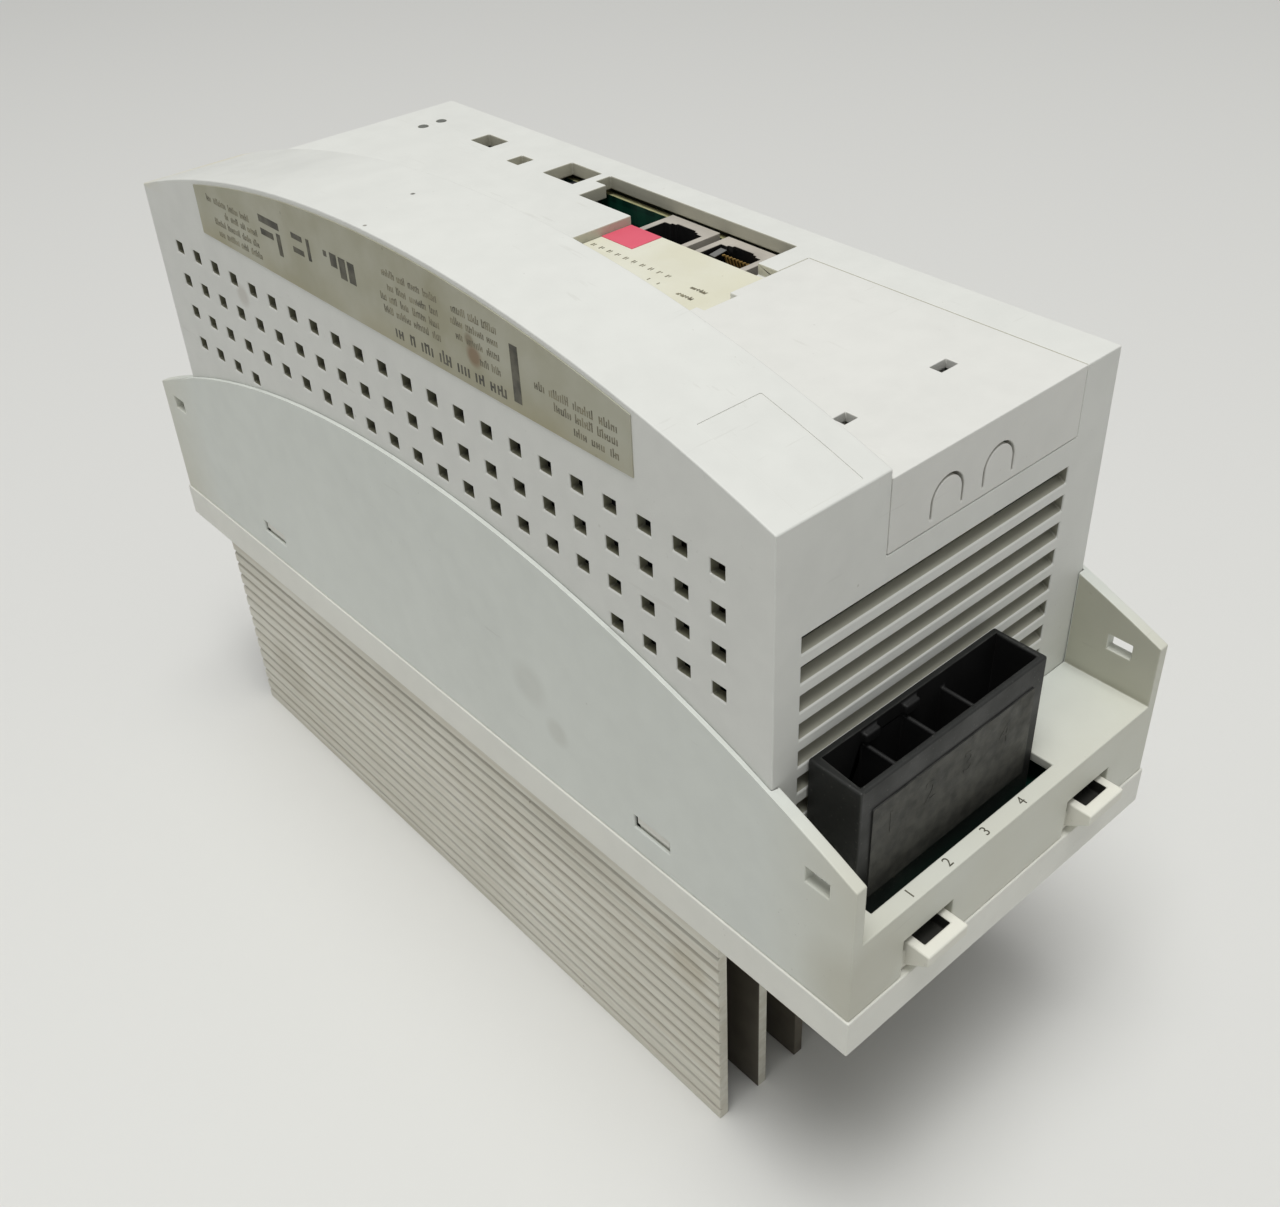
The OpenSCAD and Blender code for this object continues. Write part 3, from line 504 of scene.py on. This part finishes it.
def make_materials():
    m = {}
    m["hood"] = hood_material()
    m["lid"] = moulded("lid_plastic", (226, 226, 221), SOIL_AND_SHADE, 0.5).done()
    m["shell"] = shell_material()
    # The wings' inner faces: a darker copy of the shell plastic, painted shade.
    m["wing"] = moulded("shell_wing_painted_shade", (192, 192, 176), (100, 96, 76), 1.0).done()
    # Darker copies of the hood plastic for the walls of its openings, its inner faces and its louvre slots:
    # painted shade, as the moulding is one plastic.
    m["hood_wall_painted_shade"] = moulded("hood_wall_painted_shade", (196, 194, 178), (90, 86, 66), 0.8).done()
    m["hood_inner_painted_shade"] = moulded("hood_inner_painted_shade", (130, 129, 110), (60, 58, 46), 0.8).done()
    m["louvre"] = moulded("louvre_slot_painted_shade", (172, 171, 156), (66, 62, 48), 1.6).done()
    # Near black for the insides of the connectors' chambers: painted shade.
    m["pit"] = plain("connector_pit_painted_shade", (18, 18, 18), 0.6).done()
    # Dark paint inside the latches' finger loops: painted shade.
    m["pocket"] = plain("latch_pocket_painted_shade", (38, 38, 32), 0.7).done()
    m["contact"] = plain("contact_gold", (190, 154, 88), 0.35, 0.25).done()
    # The inner fins: dust and painted shade.
    m["sink_inner_dust_and_shade"] = plain("sink_inner_dust_and_shade", (104, 98, 86), 0.6, 0.2).done()
    m["frame"] = moulded("frame_plastic", FRAME, (104, 92, 66), 0.6, worn=(228, 226, 214), grain=0.05).done()
    m["latch"] = moulded("latch_plastic", (230, 229, 218), (98, 84, 60), 1.3, worn=(232, 230, 220)).done()
    m["sink"] = sink_material()
    m["connector"] = connector_material()
    m["panel"] = panel_material()
    m["board"] = board_material()
    m["edge"] = laminate_edge_material()
    m["label"] = label_material()
    m["port"] = paper("port_paper", (224, 223, 207), (216, 213, 190))
    m["pink"] = paper("pink_paper", (226, 98, 118), (214, 84, 104))
    m["ink"] = ink_material("label_ink", (62, 60, 50))
    m["soft_ink"] = ink_material("small_ink", (92, 88, 72))
    m["jack"] = plain("jack_plastic", (190, 184, 174), 0.5).done()
    m["black"] = plain("black_plastic", (26, 26, 27), 0.45).done()
    m["gold"] = turned_metal("gold_wire", (214, 176, 92), 0.3)
    m["tin"] = turned_metal("tinned_metal", (196, 194, 186), 0.34)
    m["spring"] = turned_metal("spring_metal", (206, 206, 204), 0.26)
    m["steel"] = turned_metal("screw_steel", (168, 170, 172), 0.36)
    m["brass"] = turned_metal("insert_brass", (206, 176, 104), 0.34)
    m["module"] = plain("module_plastic", (76, 78, 81), 0.55).done()
    m["pad"] = plain("pad_rubber", (200, 178, 190), 0.8).done()
    m["ferrite"] = plain("ferrite", (60, 60, 62), 0.6, grain=1500, depth=0.05).done()
    m["tape"] = winding_material("winding_tape", (206, 156, 50), 3.0)
    m["wire"] = winding_material("copper_wire", (176, 104, 56), 1.2)
    m["relay"] = plain("relay_plastic", (218, 218, 206), 0.45).done()
    m["block"] = plain("block_plastic", (70, 116, 92), 0.5).done()
    m["switch"] = plain("switch_plastic", (34, 35, 37), 0.5).done()
    m["knob"] = plain("knob_plastic", (222, 218, 202), 0.35).done()
    m["led"] = plain("led_plastic", (188, 204, 146), 0.2).done()
    m["pipe"] = plain("pipe_plastic", (112, 114, 108), 0.3).done()
    m["film"] = plain("film", (214, 206, 176), 0.25).done()
    m["sleeve"] = plain("can_sleeve", (40, 46, 52), 0.3).done()
    m["chip"] = plain("chip_plastic", (30, 31, 33), 0.55).done()
    m["ceramic"] = plain("ceramic_body", (172, 148, 112), 0.5).done()
    return m


# ---- Meshes ----

def finish_mesh(name, mesh, body, parts):
    """Makes a piece with crisp but smoothly shaded edges, riding on a body."""
    piece = bpy.data.objects.new(name, mesh)
    bpy.context.scene.collection.objects.link(piece)
    for mat in parts:
        mesh.materials.append(mat)
    even = piece.modifiers.new("even_normals", "WEIGHTED_NORMAL")
    even.keep_sharp = True
    even.weight = 70
    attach(piece, body)
    return piece


def shade(bm):
    """Smooth faces, with creases where the surface turns by more than the limit."""
    crease = math.radians(50)
    for face in bm.faces:
        face.smooth = True
    for edge in bm.edges:
        if len(edge.link_faces) == 2:
            edge.smooth = edge.calc_face_angle(0) < crease


def soften(bm, width, segments):
    """Rounds every edge that has room for it."""
    least_turn = math.radians(32)
    least_length = 1e-9
    least_room = 2.2 * width
    chosen = []
    for edge in bm.edges:
        if len(edge.link_faces) != 2 or edge.calc_face_angle(0) < least_turn:
            continue
        length = edge.calc_length()
        if length < least_length:
            continue
        room = min(face.calc_area() for face in edge.link_faces) / length
        if room >= least_room:
            chosen.append(edge)
    bmesh.ops.bevel(bm, geom=chosen, offset=width, offset_type="OFFSET", segments=segments, profile=0.5,
        affect="EDGES", clamp_overlap=False, material=-1)


def refine(node, name, body, width, parts, paint=None, segments=2):
    """Replaces a CAD node by a copy of it with rounded edges, and its own materials by face."""
    weld = 0.002 * MM
    flat_turn = math.radians(0.3)
    source = nodes[node]
    bm = bmesh.new()
    bm.from_mesh(source.data)
    bm.transform(source.matrix_world)
    bmesh.ops.remove_doubles(bm, verts=bm.verts, dist=weld)
    bmesh.ops.dissolve_limit(bm, angle_limit=flat_turn, verts=bm.verts, edges=bm.edges)
    for face in bm.faces:
        face.material_index = 0
    soften(bm, width * MM, segments)
    if paint:
        for face in bm.faces:
            face.material_index = paint(face.calc_center_median() / MM, face.normal)
    shade(bm)
    mesh = bpy.data.meshes.new(name)
    bm.to_mesh(mesh)
    bm.free()
    piece = finish_mesh(name, mesh, body, parts)
    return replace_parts(piece, node)


def build(name, body, parts, draw):
    """A new piece, drawn in millimetres."""
    bm = bmesh.new()
    draw(bm)
    bm.transform(Matrix.Scale(MM, 4))
    shade(bm)
    mesh = bpy.data.meshes.new(name)
    bm.to_mesh(mesh)
    bm.free()
    return finish_mesh(name, mesh, body, parts)


def block(bm, lo, hi, mat=0, edge=0.0):
    """A box with rounded edges between two corners."""
    lo = Vector(lo)
    hi = Vector(hi)
    made = bmesh.ops.create_cube(bm, size=1.0)["verts"]
    place = Matrix.Translation((lo + hi) / 2) @ Matrix.Diagonal((*(hi - lo), 1))
    bmesh.ops.transform(bm, matrix=place, verts=made)
    for face in {f for v in made for f in v.link_faces}:
        face.material_index = mat
    if edge:
        edges = list({e for v in made for e in v.link_edges})
        bmesh.ops.bevel(bm, geom=edges, offset=edge, segments=2, profile=0.5, affect="EDGES", material=-1)


def drum(bm, at, radius, height, mat, edge):
    """An upright round post with rounded rims."""
    rim_turn = 1.0
    middle = Matrix.Translation(Vector(at) + Vector((0, 0, height / 2)))
    made = bmesh.ops.create_cone(bm, cap_ends=True, segments=32, radius1=radius, radius2=radius,
        depth=height, matrix=middle)["verts"]
    for face in {f for v in made for f in v.link_faces}:
        face.material_index = mat
    rims = [e for e in {e for v in made for e in v.link_edges} if e.calc_face_angle(0) > rim_turn]
    bmesh.ops.bevel(bm, geom=rims, offset=edge, segments=2, profile=0.5, affect="EDGES", material=-1)


def strip(bm, path, y0, y1, thick):
    """A bent metal strip: a path of (x, z) points given a thickness, between two values of Y."""
    points = [Vector((p[0], p[1])) for p in path]
    outer = []
    inner = []
    for i, p in enumerate(points):
        before = points[max(0, i - 1)]
        after = points[min(len(points) - 1, i + 1)]
        along = (after - before).normalized()
        side = Vector((-along.y, along.x)) * thick / 2
        outer.append(p + side)
        inner.append(p - side)
    ring = outer + inner[::-1]
    near = [bm.verts.new((p.x, y0, p.y)) for p in ring]
    far = [bm.verts.new((p.x, y1, p.y)) for p in ring]
    count = len(ring)
    half = len(points)
    for i in range(count):
        j = (i + 1) % count
        bm.faces.new((near[i], near[j], far[j], far[i]))
    for a in range(half - 1):
        b = count - 1 - a
        bm.faces.new((near[a], near[b], near[b - 1], near[a + 1]))
        bm.faces.new((far[a], far[a + 1], far[b - 1], far[b]))
    bmesh.ops.recalc_face_normals(bm, faces=bm.faces)


# ---- Casing ----

def pocket_paint(latch):
    """Paints the pocket inside a latch's finger loop dark, as painted shade."""
    lo, hi = lo_hi(latch)
    mid_x = (lo.x + hi.x) / 2
    side_wall = 2.8
    tip_wall = 2.5
    pocket_x = (hi.x - lo.x) / 2 - side_wall
    tip_y = max(abs(lo.y), abs(hi.y)) - tip_wall
    floor_z = hi.z - 3.4
    rim_z = hi.z - 0.3

    def paint(at, normal):
        across = abs(at.x - mid_x) < pocket_x and abs(at.y) < tip_y
        return 1 if across and floor_z < at.z < rim_z else 0

    return paint


def make_casing(m):
    hood_hi = lo_hi("hood")[1]
    flat_z = lo_hi("terminal_lid")[1].z
    recess = 3.0
    skin_x = hood_hi.x - 0.35
    skin_y = hood_hi.y - 0.35
    louvre_y = hood_hi.y - 2.6
    ceiling_z = flat_z - 3.4
    wing_y = hood_hi.y + 1
    wing_x = 20
    shelf_z = 90
    fins_x = 39.8
    outside, opening_wall, inside, louvre_slot = 0, 1, 2, 3

    # Gives the walls of the openings, the inner faces and the louvre slots the darker copies of the hood
    # plastic, painted as shade.
    def hood_paint(at, normal):
        if at.z > flat_z + 0.1 or (normal.z > 0.5 and at.z > flat_z - recess):
            return outside
        if abs(at.x) > skin_x or abs(at.y) > skin_y:
            return outside
        if abs(at.y) > louvre_y:
            return louvre_slot
        return opening_wall if at.z > ceiling_z and normal.z > -0.5 else inside

    def shell_paint(at, normal):
        """The inner faces of the wings, which stand above the shelves: a darker copy of the shell plastic,
        painted as shade.
        """
        return 1 if abs(at.y) > wing_y and at.x * normal.x < -wing_x and at.z > shelf_z else 0

    def sink_paint(at, normal):
        """Everything between the two outer fins, painted a dark dusty grey: part dust, part painted shade.
        """
        return 1 if abs(at.x) < fins_x else 0

    refine("hood", "hood_moulding", "casing", 0.3,
        [m["hood"], m["hood_wall_painted_shade"], m["hood_inner_painted_shade"], m["louvre"]], hood_paint)
    refine("lower_shell", "lower_shell_moulding", "casing", 0.3,
        [m["shell"], m["wing"]], shell_paint)
    refine("base_frame", "base_frame_moulding", "casing", 0.3, [m["frame"]])
    refine("terminal_lid", "terminal_lid_moulding", "lid", 0.22, [m["lid"]])
    for end in ("front", "back"):
        for side in ("left", "right"):
            latch = f"latch_{end}_{side}"
            refine(latch, f"{latch}_moulding", latch, 0.4,
                [m["latch"], m["pocket"]], pocket_paint(latch), segments=3)
    refine("heat_sink", "heat_sink_extrusion", "casing", 0.12,
        [m["sink"], m["sink_inner_dust_and_shade"]], sink_paint)


# ---- Labels ----

def word_marks(bm, rng, x0, x1, y0, y1, z, height, mat, heavy):
    """One line of unreadable print along Y: words made of upright strokes and short crossbars."""
    crossbar_chance = 0.55
    y = y0
    while y < y1 - 1.0:
        word = min(y1 - y, rng.uniform(2.2, 5.6))
        step = heavy * 2.1
        at = y
        while at < y + word - heavy:
            tall = height * rng.choice((0.66, 0.66, 0.8, 1.0))
            block(bm, (x0, at, z - height / 2), (x1, at + heavy, z - height / 2 + tall), mat)
            if rng.random() < crossbar_chance and at + step + heavy < y + word:
                level = z - height / 2 + rng.choice((0.0, tall * 0.4, tall * 0.75))
                block(bm, (x0, at + heavy, level), (x1, at + step, level + heavy * 0.8), mat)
            at += step
        y += word + height * 0.6


def draw_side_print(bm):
    """Unreadable lines, each from y to y at a height z, and plain bars where the label has signs."""
    lo = lo_hi("side_label")[0]
    rng = random.Random(11)
    x0 = lo.x - 0.03
    x1 = lo.x + 0.02
    ink, soft_ink = 0, 1
    small_lines = [(49.5, 68.4, 170.0), (46.8, 61.0, 167.6), (46.9, 66.2, 165.1), (46.5, 65.6, 162.6),
        (-19.6, 0.1, 174.4), (-19.5, -3.2, 171.7), (-19.4, -0.1, 169.2), (-19.4, -1.0, 166.7),
        (-37.2, -23.4, 174.3), (-37.2, -23.2, 171.9), (-37.3, -24.4, 169.3), (-37.2, -31.3, 166.4)]
    larger_lines = [(-67.9, -46.4, 167.9), (-67.9, -50.0, 165.5), (-68.0, -56.7, 162.9)]
    heading = (-38.4, -2.6, 163.0)
    for y0, y1, z in small_lines:
        word_marks(bm, rng, x0, x1, y0, y1, z, 1.55, soft_ink, 0.26)
    for y0, y1, z in larger_lines:
        word_marks(bm, rng, x0, x1, y0, y1, z, 1.7, soft_ink, 0.28)
    word_marks(bm, rng, x0, x1, *heading, 2.7, ink, 0.5)
    bars = [(-42.8, -40.6, 162.2, 173.2), (36.4, 44.6, 171.0, 172.6), (36.4, 38.0, 165.4, 170.2),
        (39.4, 44.6, 168.2, 169.6), (24.4, 25.6, 168.0, 172.6), (27.2, 31.4, 171.2, 172.4),
        (27.2, 31.4, 168.2, 169.4), (8.0, 10.4, 168.0, 172.4), (11.2, 13.6, 168.0, 172.4),
        (14.4, 16.8, 169.6, 172.4), (18.0, 19.2, 171.0, 172.2)]
    for y0, y1, z0, z1 in bars:
        block(bm, (x0, y0, z0), (x1, y1, z1), ink)


def draw_port_print(bm):
    """A column of marks, two dashes and two short words, none of them readable."""
    top = lo_hi("port_label")[1].z
    rng = random.Random(5)
    z0 = top - 0.01
    z1 = top + 0.03
    column_x = 11.8
    column_y = 4.9
    row_pitch = 2.61
    for i in range(10):
        y = column_y - i * row_pitch
        wide = rng.choice((0.5, 0.8, 1.1))
        block(bm, (column_x - 1.2, y - 0.2, z0), (column_x, y + 0.15, z1))
        block(bm, (column_x - wide, y - 0.75, z0), (column_x, y - 0.5, z1))
    for x, y in [(7.7, -16.6), (7.6, -19.6)]:
        block(bm, (x - 0.5, y - 0.5, z0), (x + 0.4, y - 0.2, z1))
    stroke_pitch = 0.72
    for x in (10.4, 6.6):
        for i in range(6):
            y = -30.4 + i * stroke_pitch
            tall = rng.choice((1.0, 1.3, 0.8))
            block(bm, (x, y, z0), (x + tall, y + 0.3, z1))
            block(bm, (x + rng.choice((0.0, 0.5)), y + 0.3, z0), (x + 0.75, y + 0.7, z1))


def make_labels(m):
    """The three films, and the print on two of them."""
    refine("side_label", "side_label_film", "casing", 0.06, [m["label"]])
    refine("port_label", "port_label_film", "casing", 0.08, [m["port"]])
    refine("pink_sticker", "pink_sticker_film", "casing", 0.03, [m["pink"]])
    build("side_label_print", "casing", [m["ink"], m["soft_ink"]], draw_side_print)
    build("port_label_print", "casing", [m["soft_ink"]], draw_port_print)


def digit(name, text, at, turn, size, thick, mat, slot):
    """A generic number, fixed to the casing."""
    curve = bpy.data.curves.new(name, "FONT")
    curve.body = text
    curve.size = size * MM
    curve.extrude = thick * MM / 2
    curve.align_x = "CENTER"
    curve.align_y = "CENTER"
    curve.resolution_u = 4
    helper = bpy.data.objects.new(name + "_curve", curve)
    mesh = bpy.data.meshes.new_from_object(helper)
    bpy.data.objects.remove(helper)
    mesh.name = name
    mesh.transform(Matrix.Translation(Vector(at) * MM) @ turn)
    piece = bpy.data.objects.new(name, mesh)
    bpy.context.scene.collection.objects.link(piece)
    mesh.materials.clear()
    mesh.materials.append(mat)
    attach(piece, "casing")
    return piece


def make_digits(m):
    """Way numbers: printed on both shelves, and moulded in both connectors' faces."""
    printed = (3.0, 0.06, m["ink"], "shell_plastic")
    moulded_in = (7.0, 0.16, m["panel"], "connector_plastic")
    shelf_y = 120.7
    shelf_z = 90.5
    face_y = -lo_hi("motor_connector")[0].y
    face_z = 103.2
    shelf_ways = (-28.3, -17.95, -7.3, 3.5)
    face_ways = (-27.6, -17.2, -6.6, 4.0)
    flat = Matrix.Identity(4)
    about = Matrix.Rotation(math.pi, 4, "Z")
    upright = Matrix.Rotation(math.pi / 2, 4, "X")
    for i, x in enumerate(shelf_ways):
        number = str(i + 1)
        digit(f"shelf_mark_{number}", number, (x, -shelf_y, shelf_z), flat, *printed)
        digit(f"rear_mark_{number}", number, (-x, shelf_y, shelf_z), about, *printed)
    for i, x in enumerate(face_ways):
        number = str(i + 1)
        digit(f"motor_way_{number}", number, (x, -face_y, face_z), upright, *moulded_in)
        digit(f"supply_way_{number}", number, (-x, face_y, face_z), about @ upright, *moulded_in)


# ---- Connectors and jacks ----

JACK_PITCH = 1.02


def connector_paint(node, outward):
    """The panel sunk in the outer face, and the insides of the chambers, painted near black as shade."""
    lo, hi = lo_hi(node)
    face = lo.y if outward < 0 else hi.y
    panel_depth = 0.12
    rim = 1.0
    mouth_z = hi.z - 0.2

    def paint(at, normal):
        if abs(at.y - face) < panel_depth and normal.y * outward > 0.9:
            return 1
        within = lo.x + rim < at.x < hi.x - rim and lo.y + rim < at.y < hi.y - rim
        return 2 if within and at.z < mouth_z else 0

    return paint


def make_connectors(m):
    for node, outward in (("motor_connector", -1), ("supply_connector", 1)):
        refine(node, f"{node}_moulding", "casing", 0.45,
            [m["connector"], m["panel"], m["pit"]], connector_paint(node, outward), segments=3)


def jack_paint(node):
    """The black inside of a jack's socket."""
    lo, hi = lo_hi(node)
    mid_y = (lo.y + hi.y) / 2
    socket_y = (hi.y - lo.y) / 2 - 1.2
    near_x = lo.x + 2.2
    far_x = hi.x - 1.4
    mouth_z = hi.z - 0.12

    def paint(at, normal):
        inside = abs(at.y - mid_y) < socket_y and near_x < at.x < far_x
        return 1 if inside and at.z < mouth_z else 0

    return paint


def make_jacks(m):
    for node in ("front_jack", "rear_jack"):
        refine(node, f"{node}_housing", "casing", 0.15,
            [m["jack"], m["black"]], jack_paint(node))
        build(f"{node}_comb", "casing", [m["black"]], partial(draw_comb, node=node))
    build("front_jack_spring", "casing", [m["spring"]], draw_spring)
    build("front_jack_wires", "casing", [m["contact"]], draw_wires)


def draw_spring(bm):
    """The shield's spring finger at the far end of the front jack."""
    hi = lo_hi("front_jack")[1]
    end_y = hi.y - 2.6
    path = [(26.4, hi.z - 9), (26.6, hi.z - 3.0), (27.6, hi.z - 0.9), (31.0, hi.z - 0.5), (31.9, hi.z - 1.5)]
    strip(bm, path, end_y - 1.8, end_y, 0.25)


def draw_wires(bm):
    """The eight contact wires that bend down into the front jack."""
    lo, hi = lo_hi("front_jack")
    mid_y = (lo.y + hi.y) / 2 - 1.6
    path = [(28.6, hi.z - 0.4), (29.2, hi.z - 0.5), (30.6, hi.z - 4.4), (31.4, hi.z - 9)]
    for i in range(8):
        y = mid_y + (i - 3.5) * JACK_PITCH
        strip(bm, path, y - 0.2, y + 0.2, 0.3)


def draw_comb(bm, node):
    """The comb that keeps a jack's wires apart, low on the side away from the board."""
    lo, hi = lo_hi(node)
    mid_y = (lo.y + hi.y) / 2
    x0 = 25.5
    for i in range(9):
        y = mid_y + (i - 4) * JACK_PITCH
        block(bm, (x0, y - 0.2, hi.z - 12.9), (x0 + 1.5, y + 0.2, hi.z - 9.6), 0, 0.05)
    block(bm, (x0, mid_y - 5.2, hi.z - 12.95), (x0 + 2.0, mid_y + 5.2, hi.z - 12.3), 0, 0.1)


# ---- Boards ----

def draw_board_parts(bm):
    """Chips, resistors and capacitors on the inner face of the upright board."""
    lo, hi = lo_hi("control_board")
    rng = random.Random(3)
    face_x = lo.x
    leg_pitch = 1.27
    clearance = 2.4
    chip_mat, tin_mat, ceramic_mat = 0, 1, 2
    chips = [(14, 124, 7, 9), (-60, 108, 14, 14), (-20, 96, 10, 10),
        (44, 112, 12, 16), (70, 98, 9, 9), (60, 128, 7, 7)]

    def near_chip(y, z):
        return any(abs(y - chip_y) < wide / 2 + clearance and abs(z - chip_z) < tall / 2 + clearance
            for chip_y, chip_z, wide, tall in chips)

    def near_link(y, z):
        return -38 < y < 16 and z < 100

    for y, z, wide, tall in chips:
        block(bm, (face_x - 1.3, y - wide / 2, z - tall / 2), (face_x - 0.1, y + wide / 2, z + tall / 2),
            chip_mat, 0.12)
        legs = int(tall / leg_pitch)
        for i in range(legs):
            leg_z = z + (i - (legs - 1) / 2) * leg_pitch
            for side in (-1, 1):
                leg_y = y + side * (wide / 2 + 0.4)
                block(bm, (face_x - 0.5, leg_y - 0.45, leg_z - 0.2), (face_x, leg_y + 0.45, leg_z + 0.2),
                    tin_mat, 0.05)
    for i in range(70):
        y = rng.uniform(lo.y + 6, hi.y - 6)
        z = rng.uniform(88, 134)
        if near_chip(y, z) or near_link(y, z):
            continue
        along = Vector((0, 1, 0)) if rng.random() < 0.5 else Vector((0, 0, 1))
        across = Vector((0, 1, 1)) - along
        half = along * 0.8 + across * 0.4
        cap_half = along * 0.16 + across * 0.42
        middle = Vector((face_x, y, z))
        body_mat = rng.choice((ceramic_mat, chip_mat))
        block(bm, middle - half - Vector((0.7, 0, 0)), middle + half - Vector((0.02, 0, 0)), body_mat, 0.08)
        for side in (-1, 1):
            cap = middle + along * (side * 0.672)
            block(bm, cap - cap_half - Vector((0.74, 0, 0)), cap + cap_half, tin_mat, 0.04)


def draw_power_parts(bm):
    """Film capacitors, a row of resistors and small round cans on the power board."""
    top = lo_hi("power_board")[1].z
    can_radius = 3.8
    can_height = 11
    for x, y in [(8, -64), (-8, -64), (8, -56)]:
        block(bm, (x - 5, y - 2.6, top + 0.2), (x + 5, y + 2.6, top + 9), 0, 0.5)
    for i in range(6):
        y = -46 + i * 3.4
        block(bm, (7, y - 1, top + 0.3), (14, y + 1, top + 2.3), 2, 0.6)
    for x, y in [(-14, 24), (-4, 24), (6, 24)]:
        drum(bm, (x, y, top + 0.1), can_radius, can_height, 0, 0.5)
        drum(bm, (x, y, top + 0.05 + can_height), can_radius - 0.7, 0.12, 1, 0.04)


def make_boards(m):
    laminate = [m["board"], m["edge"]]
    fittings = [m["chip"], m["tin"], m["ceramic"]]

    def upright_edge(at, normal):
        return 1 if abs(normal.x) < 0.5 else 0

    def flat_edge(at, normal):
        return 1 if abs(normal.z) < 0.5 else 0

    refine("control_board", "control_board_laminate", "casing", 0.08,
        laminate, upright_edge)
    refine("power_board", "power_board_laminate", "casing", 0.08,
        laminate, flat_edge)
    build("control_board_parts", "casing", fittings, draw_board_parts)
    build("power_board_parts", "casing", fittings, draw_power_parts)


# ---- The remaining parts ----

def make_inner(m):
    """Each node by its material, body, slot and edge radius in millimetres."""
    rounded = {
        "heat_sink_screws": ("steel", "casing", "screw_steel", 0.1),
        "threaded_inserts": ("brass", "casing", "insert_brass", 0.15),
        "motor_contacts": ("tin", "casing", "tinned_metal", 0.12),
        "supply_contacts": ("tin", "casing", "tinned_metal", 0.12),
        "power_module": ("module", "casing", "module_plastic", 0.25),
        "thermal_pad": ("pad", "casing", "pad_rubber", 0.1),
        "module_screws": ("steel", "casing", "screw_steel", 0.25),
        "board_standoffs": ("brass", "casing", "insert_brass", 0.15),
        "board_screws": ("steel", "casing", "screw_steel", 0.25),
        "transformer_core": ("ferrite", "casing", "ferrite", 0.4),
        "transformer_winding": ("tape", "casing", "winding_tape", 0.8),
        "choke_core": ("ferrite", "casing", "ferrite", 0.4),
        "choke_winding": ("wire", "casing", "copper_wire", 0.35),
        "relay": ("relay", "casing", "relay_plastic", 0.6),
        "current_sensors": ("switch", "casing", "switch_plastic", 0.4),
        "board_link": ("switch", "casing", "switch_plastic", 0.3),
        "front_jack_contacts": ("gold", "casing", "gold_wire", 0.08),
        "rear_jack_contacts": ("gold", "casing", "gold_wire", 0.08),
        "terminal_block": ("block", "casing", "block_plastic", 0.2),
        "terminal_screws": ("steel", "casing", "screw_steel", 0.12),
        "address_switch": ("switch", "casing", "switch_plastic", 0.2),
        "address_dial": ("knob", "dial", "knob_plastic", 0.12),
        "mode_switch": ("switch", "casing", "switch_plastic", 0.2),
        "mode_slider_1": ("knob", "slider_1", "knob_plastic", 0.12),
        "mode_slider_2": ("knob", "slider_2", "knob_plastic", 0.12),
        "reset_switch": ("switch", "casing", "switch_plastic", 0.2),
        "reset_button": ("knob", "button", "knob_plastic", 0.2),
        "status_leds": ("led", "casing", "led_plastic", 0.15),
        "light_pipes": ("pipe", "casing", "pipe_plastic", 0.1),
        "insulation_sheet": ("film", "casing", "film", 0.08),
    }
    for node, (mat, body, slot, width) in rounded.items():
        refine(node, f"{node}_detail", body, width, [m[mat]])
    lid_z = lo_hi("dc_link_capacitors")[1].z - 0.6

    def can_paint(at, normal):
        return 1 if normal.z > 0.7 and at.z > lid_z else 0

    refine("dc_link_capacitors", "capacitor_cans", "casing", 0.6,
        [m["sleeve"], m["tin"]], can_paint)


add_camera()
add_floor()
add_world(overhead=0.4, horizon=0.165)
add_light("key", at=(-0.3, -0.24, 2.4), aim=(0, 0, 0.1), size=(1.2, 1.2), power=40, tint=(1.0, 1.0, 0.99))

materials = make_materials()
make_casing(materials)
make_labels(materials)
make_digits(materials)
make_connectors(materials)
make_jacks(materials)
make_boards(materials)
make_inner(materials)
bpy.context.scene.view_settings.view_transform = "Standard"
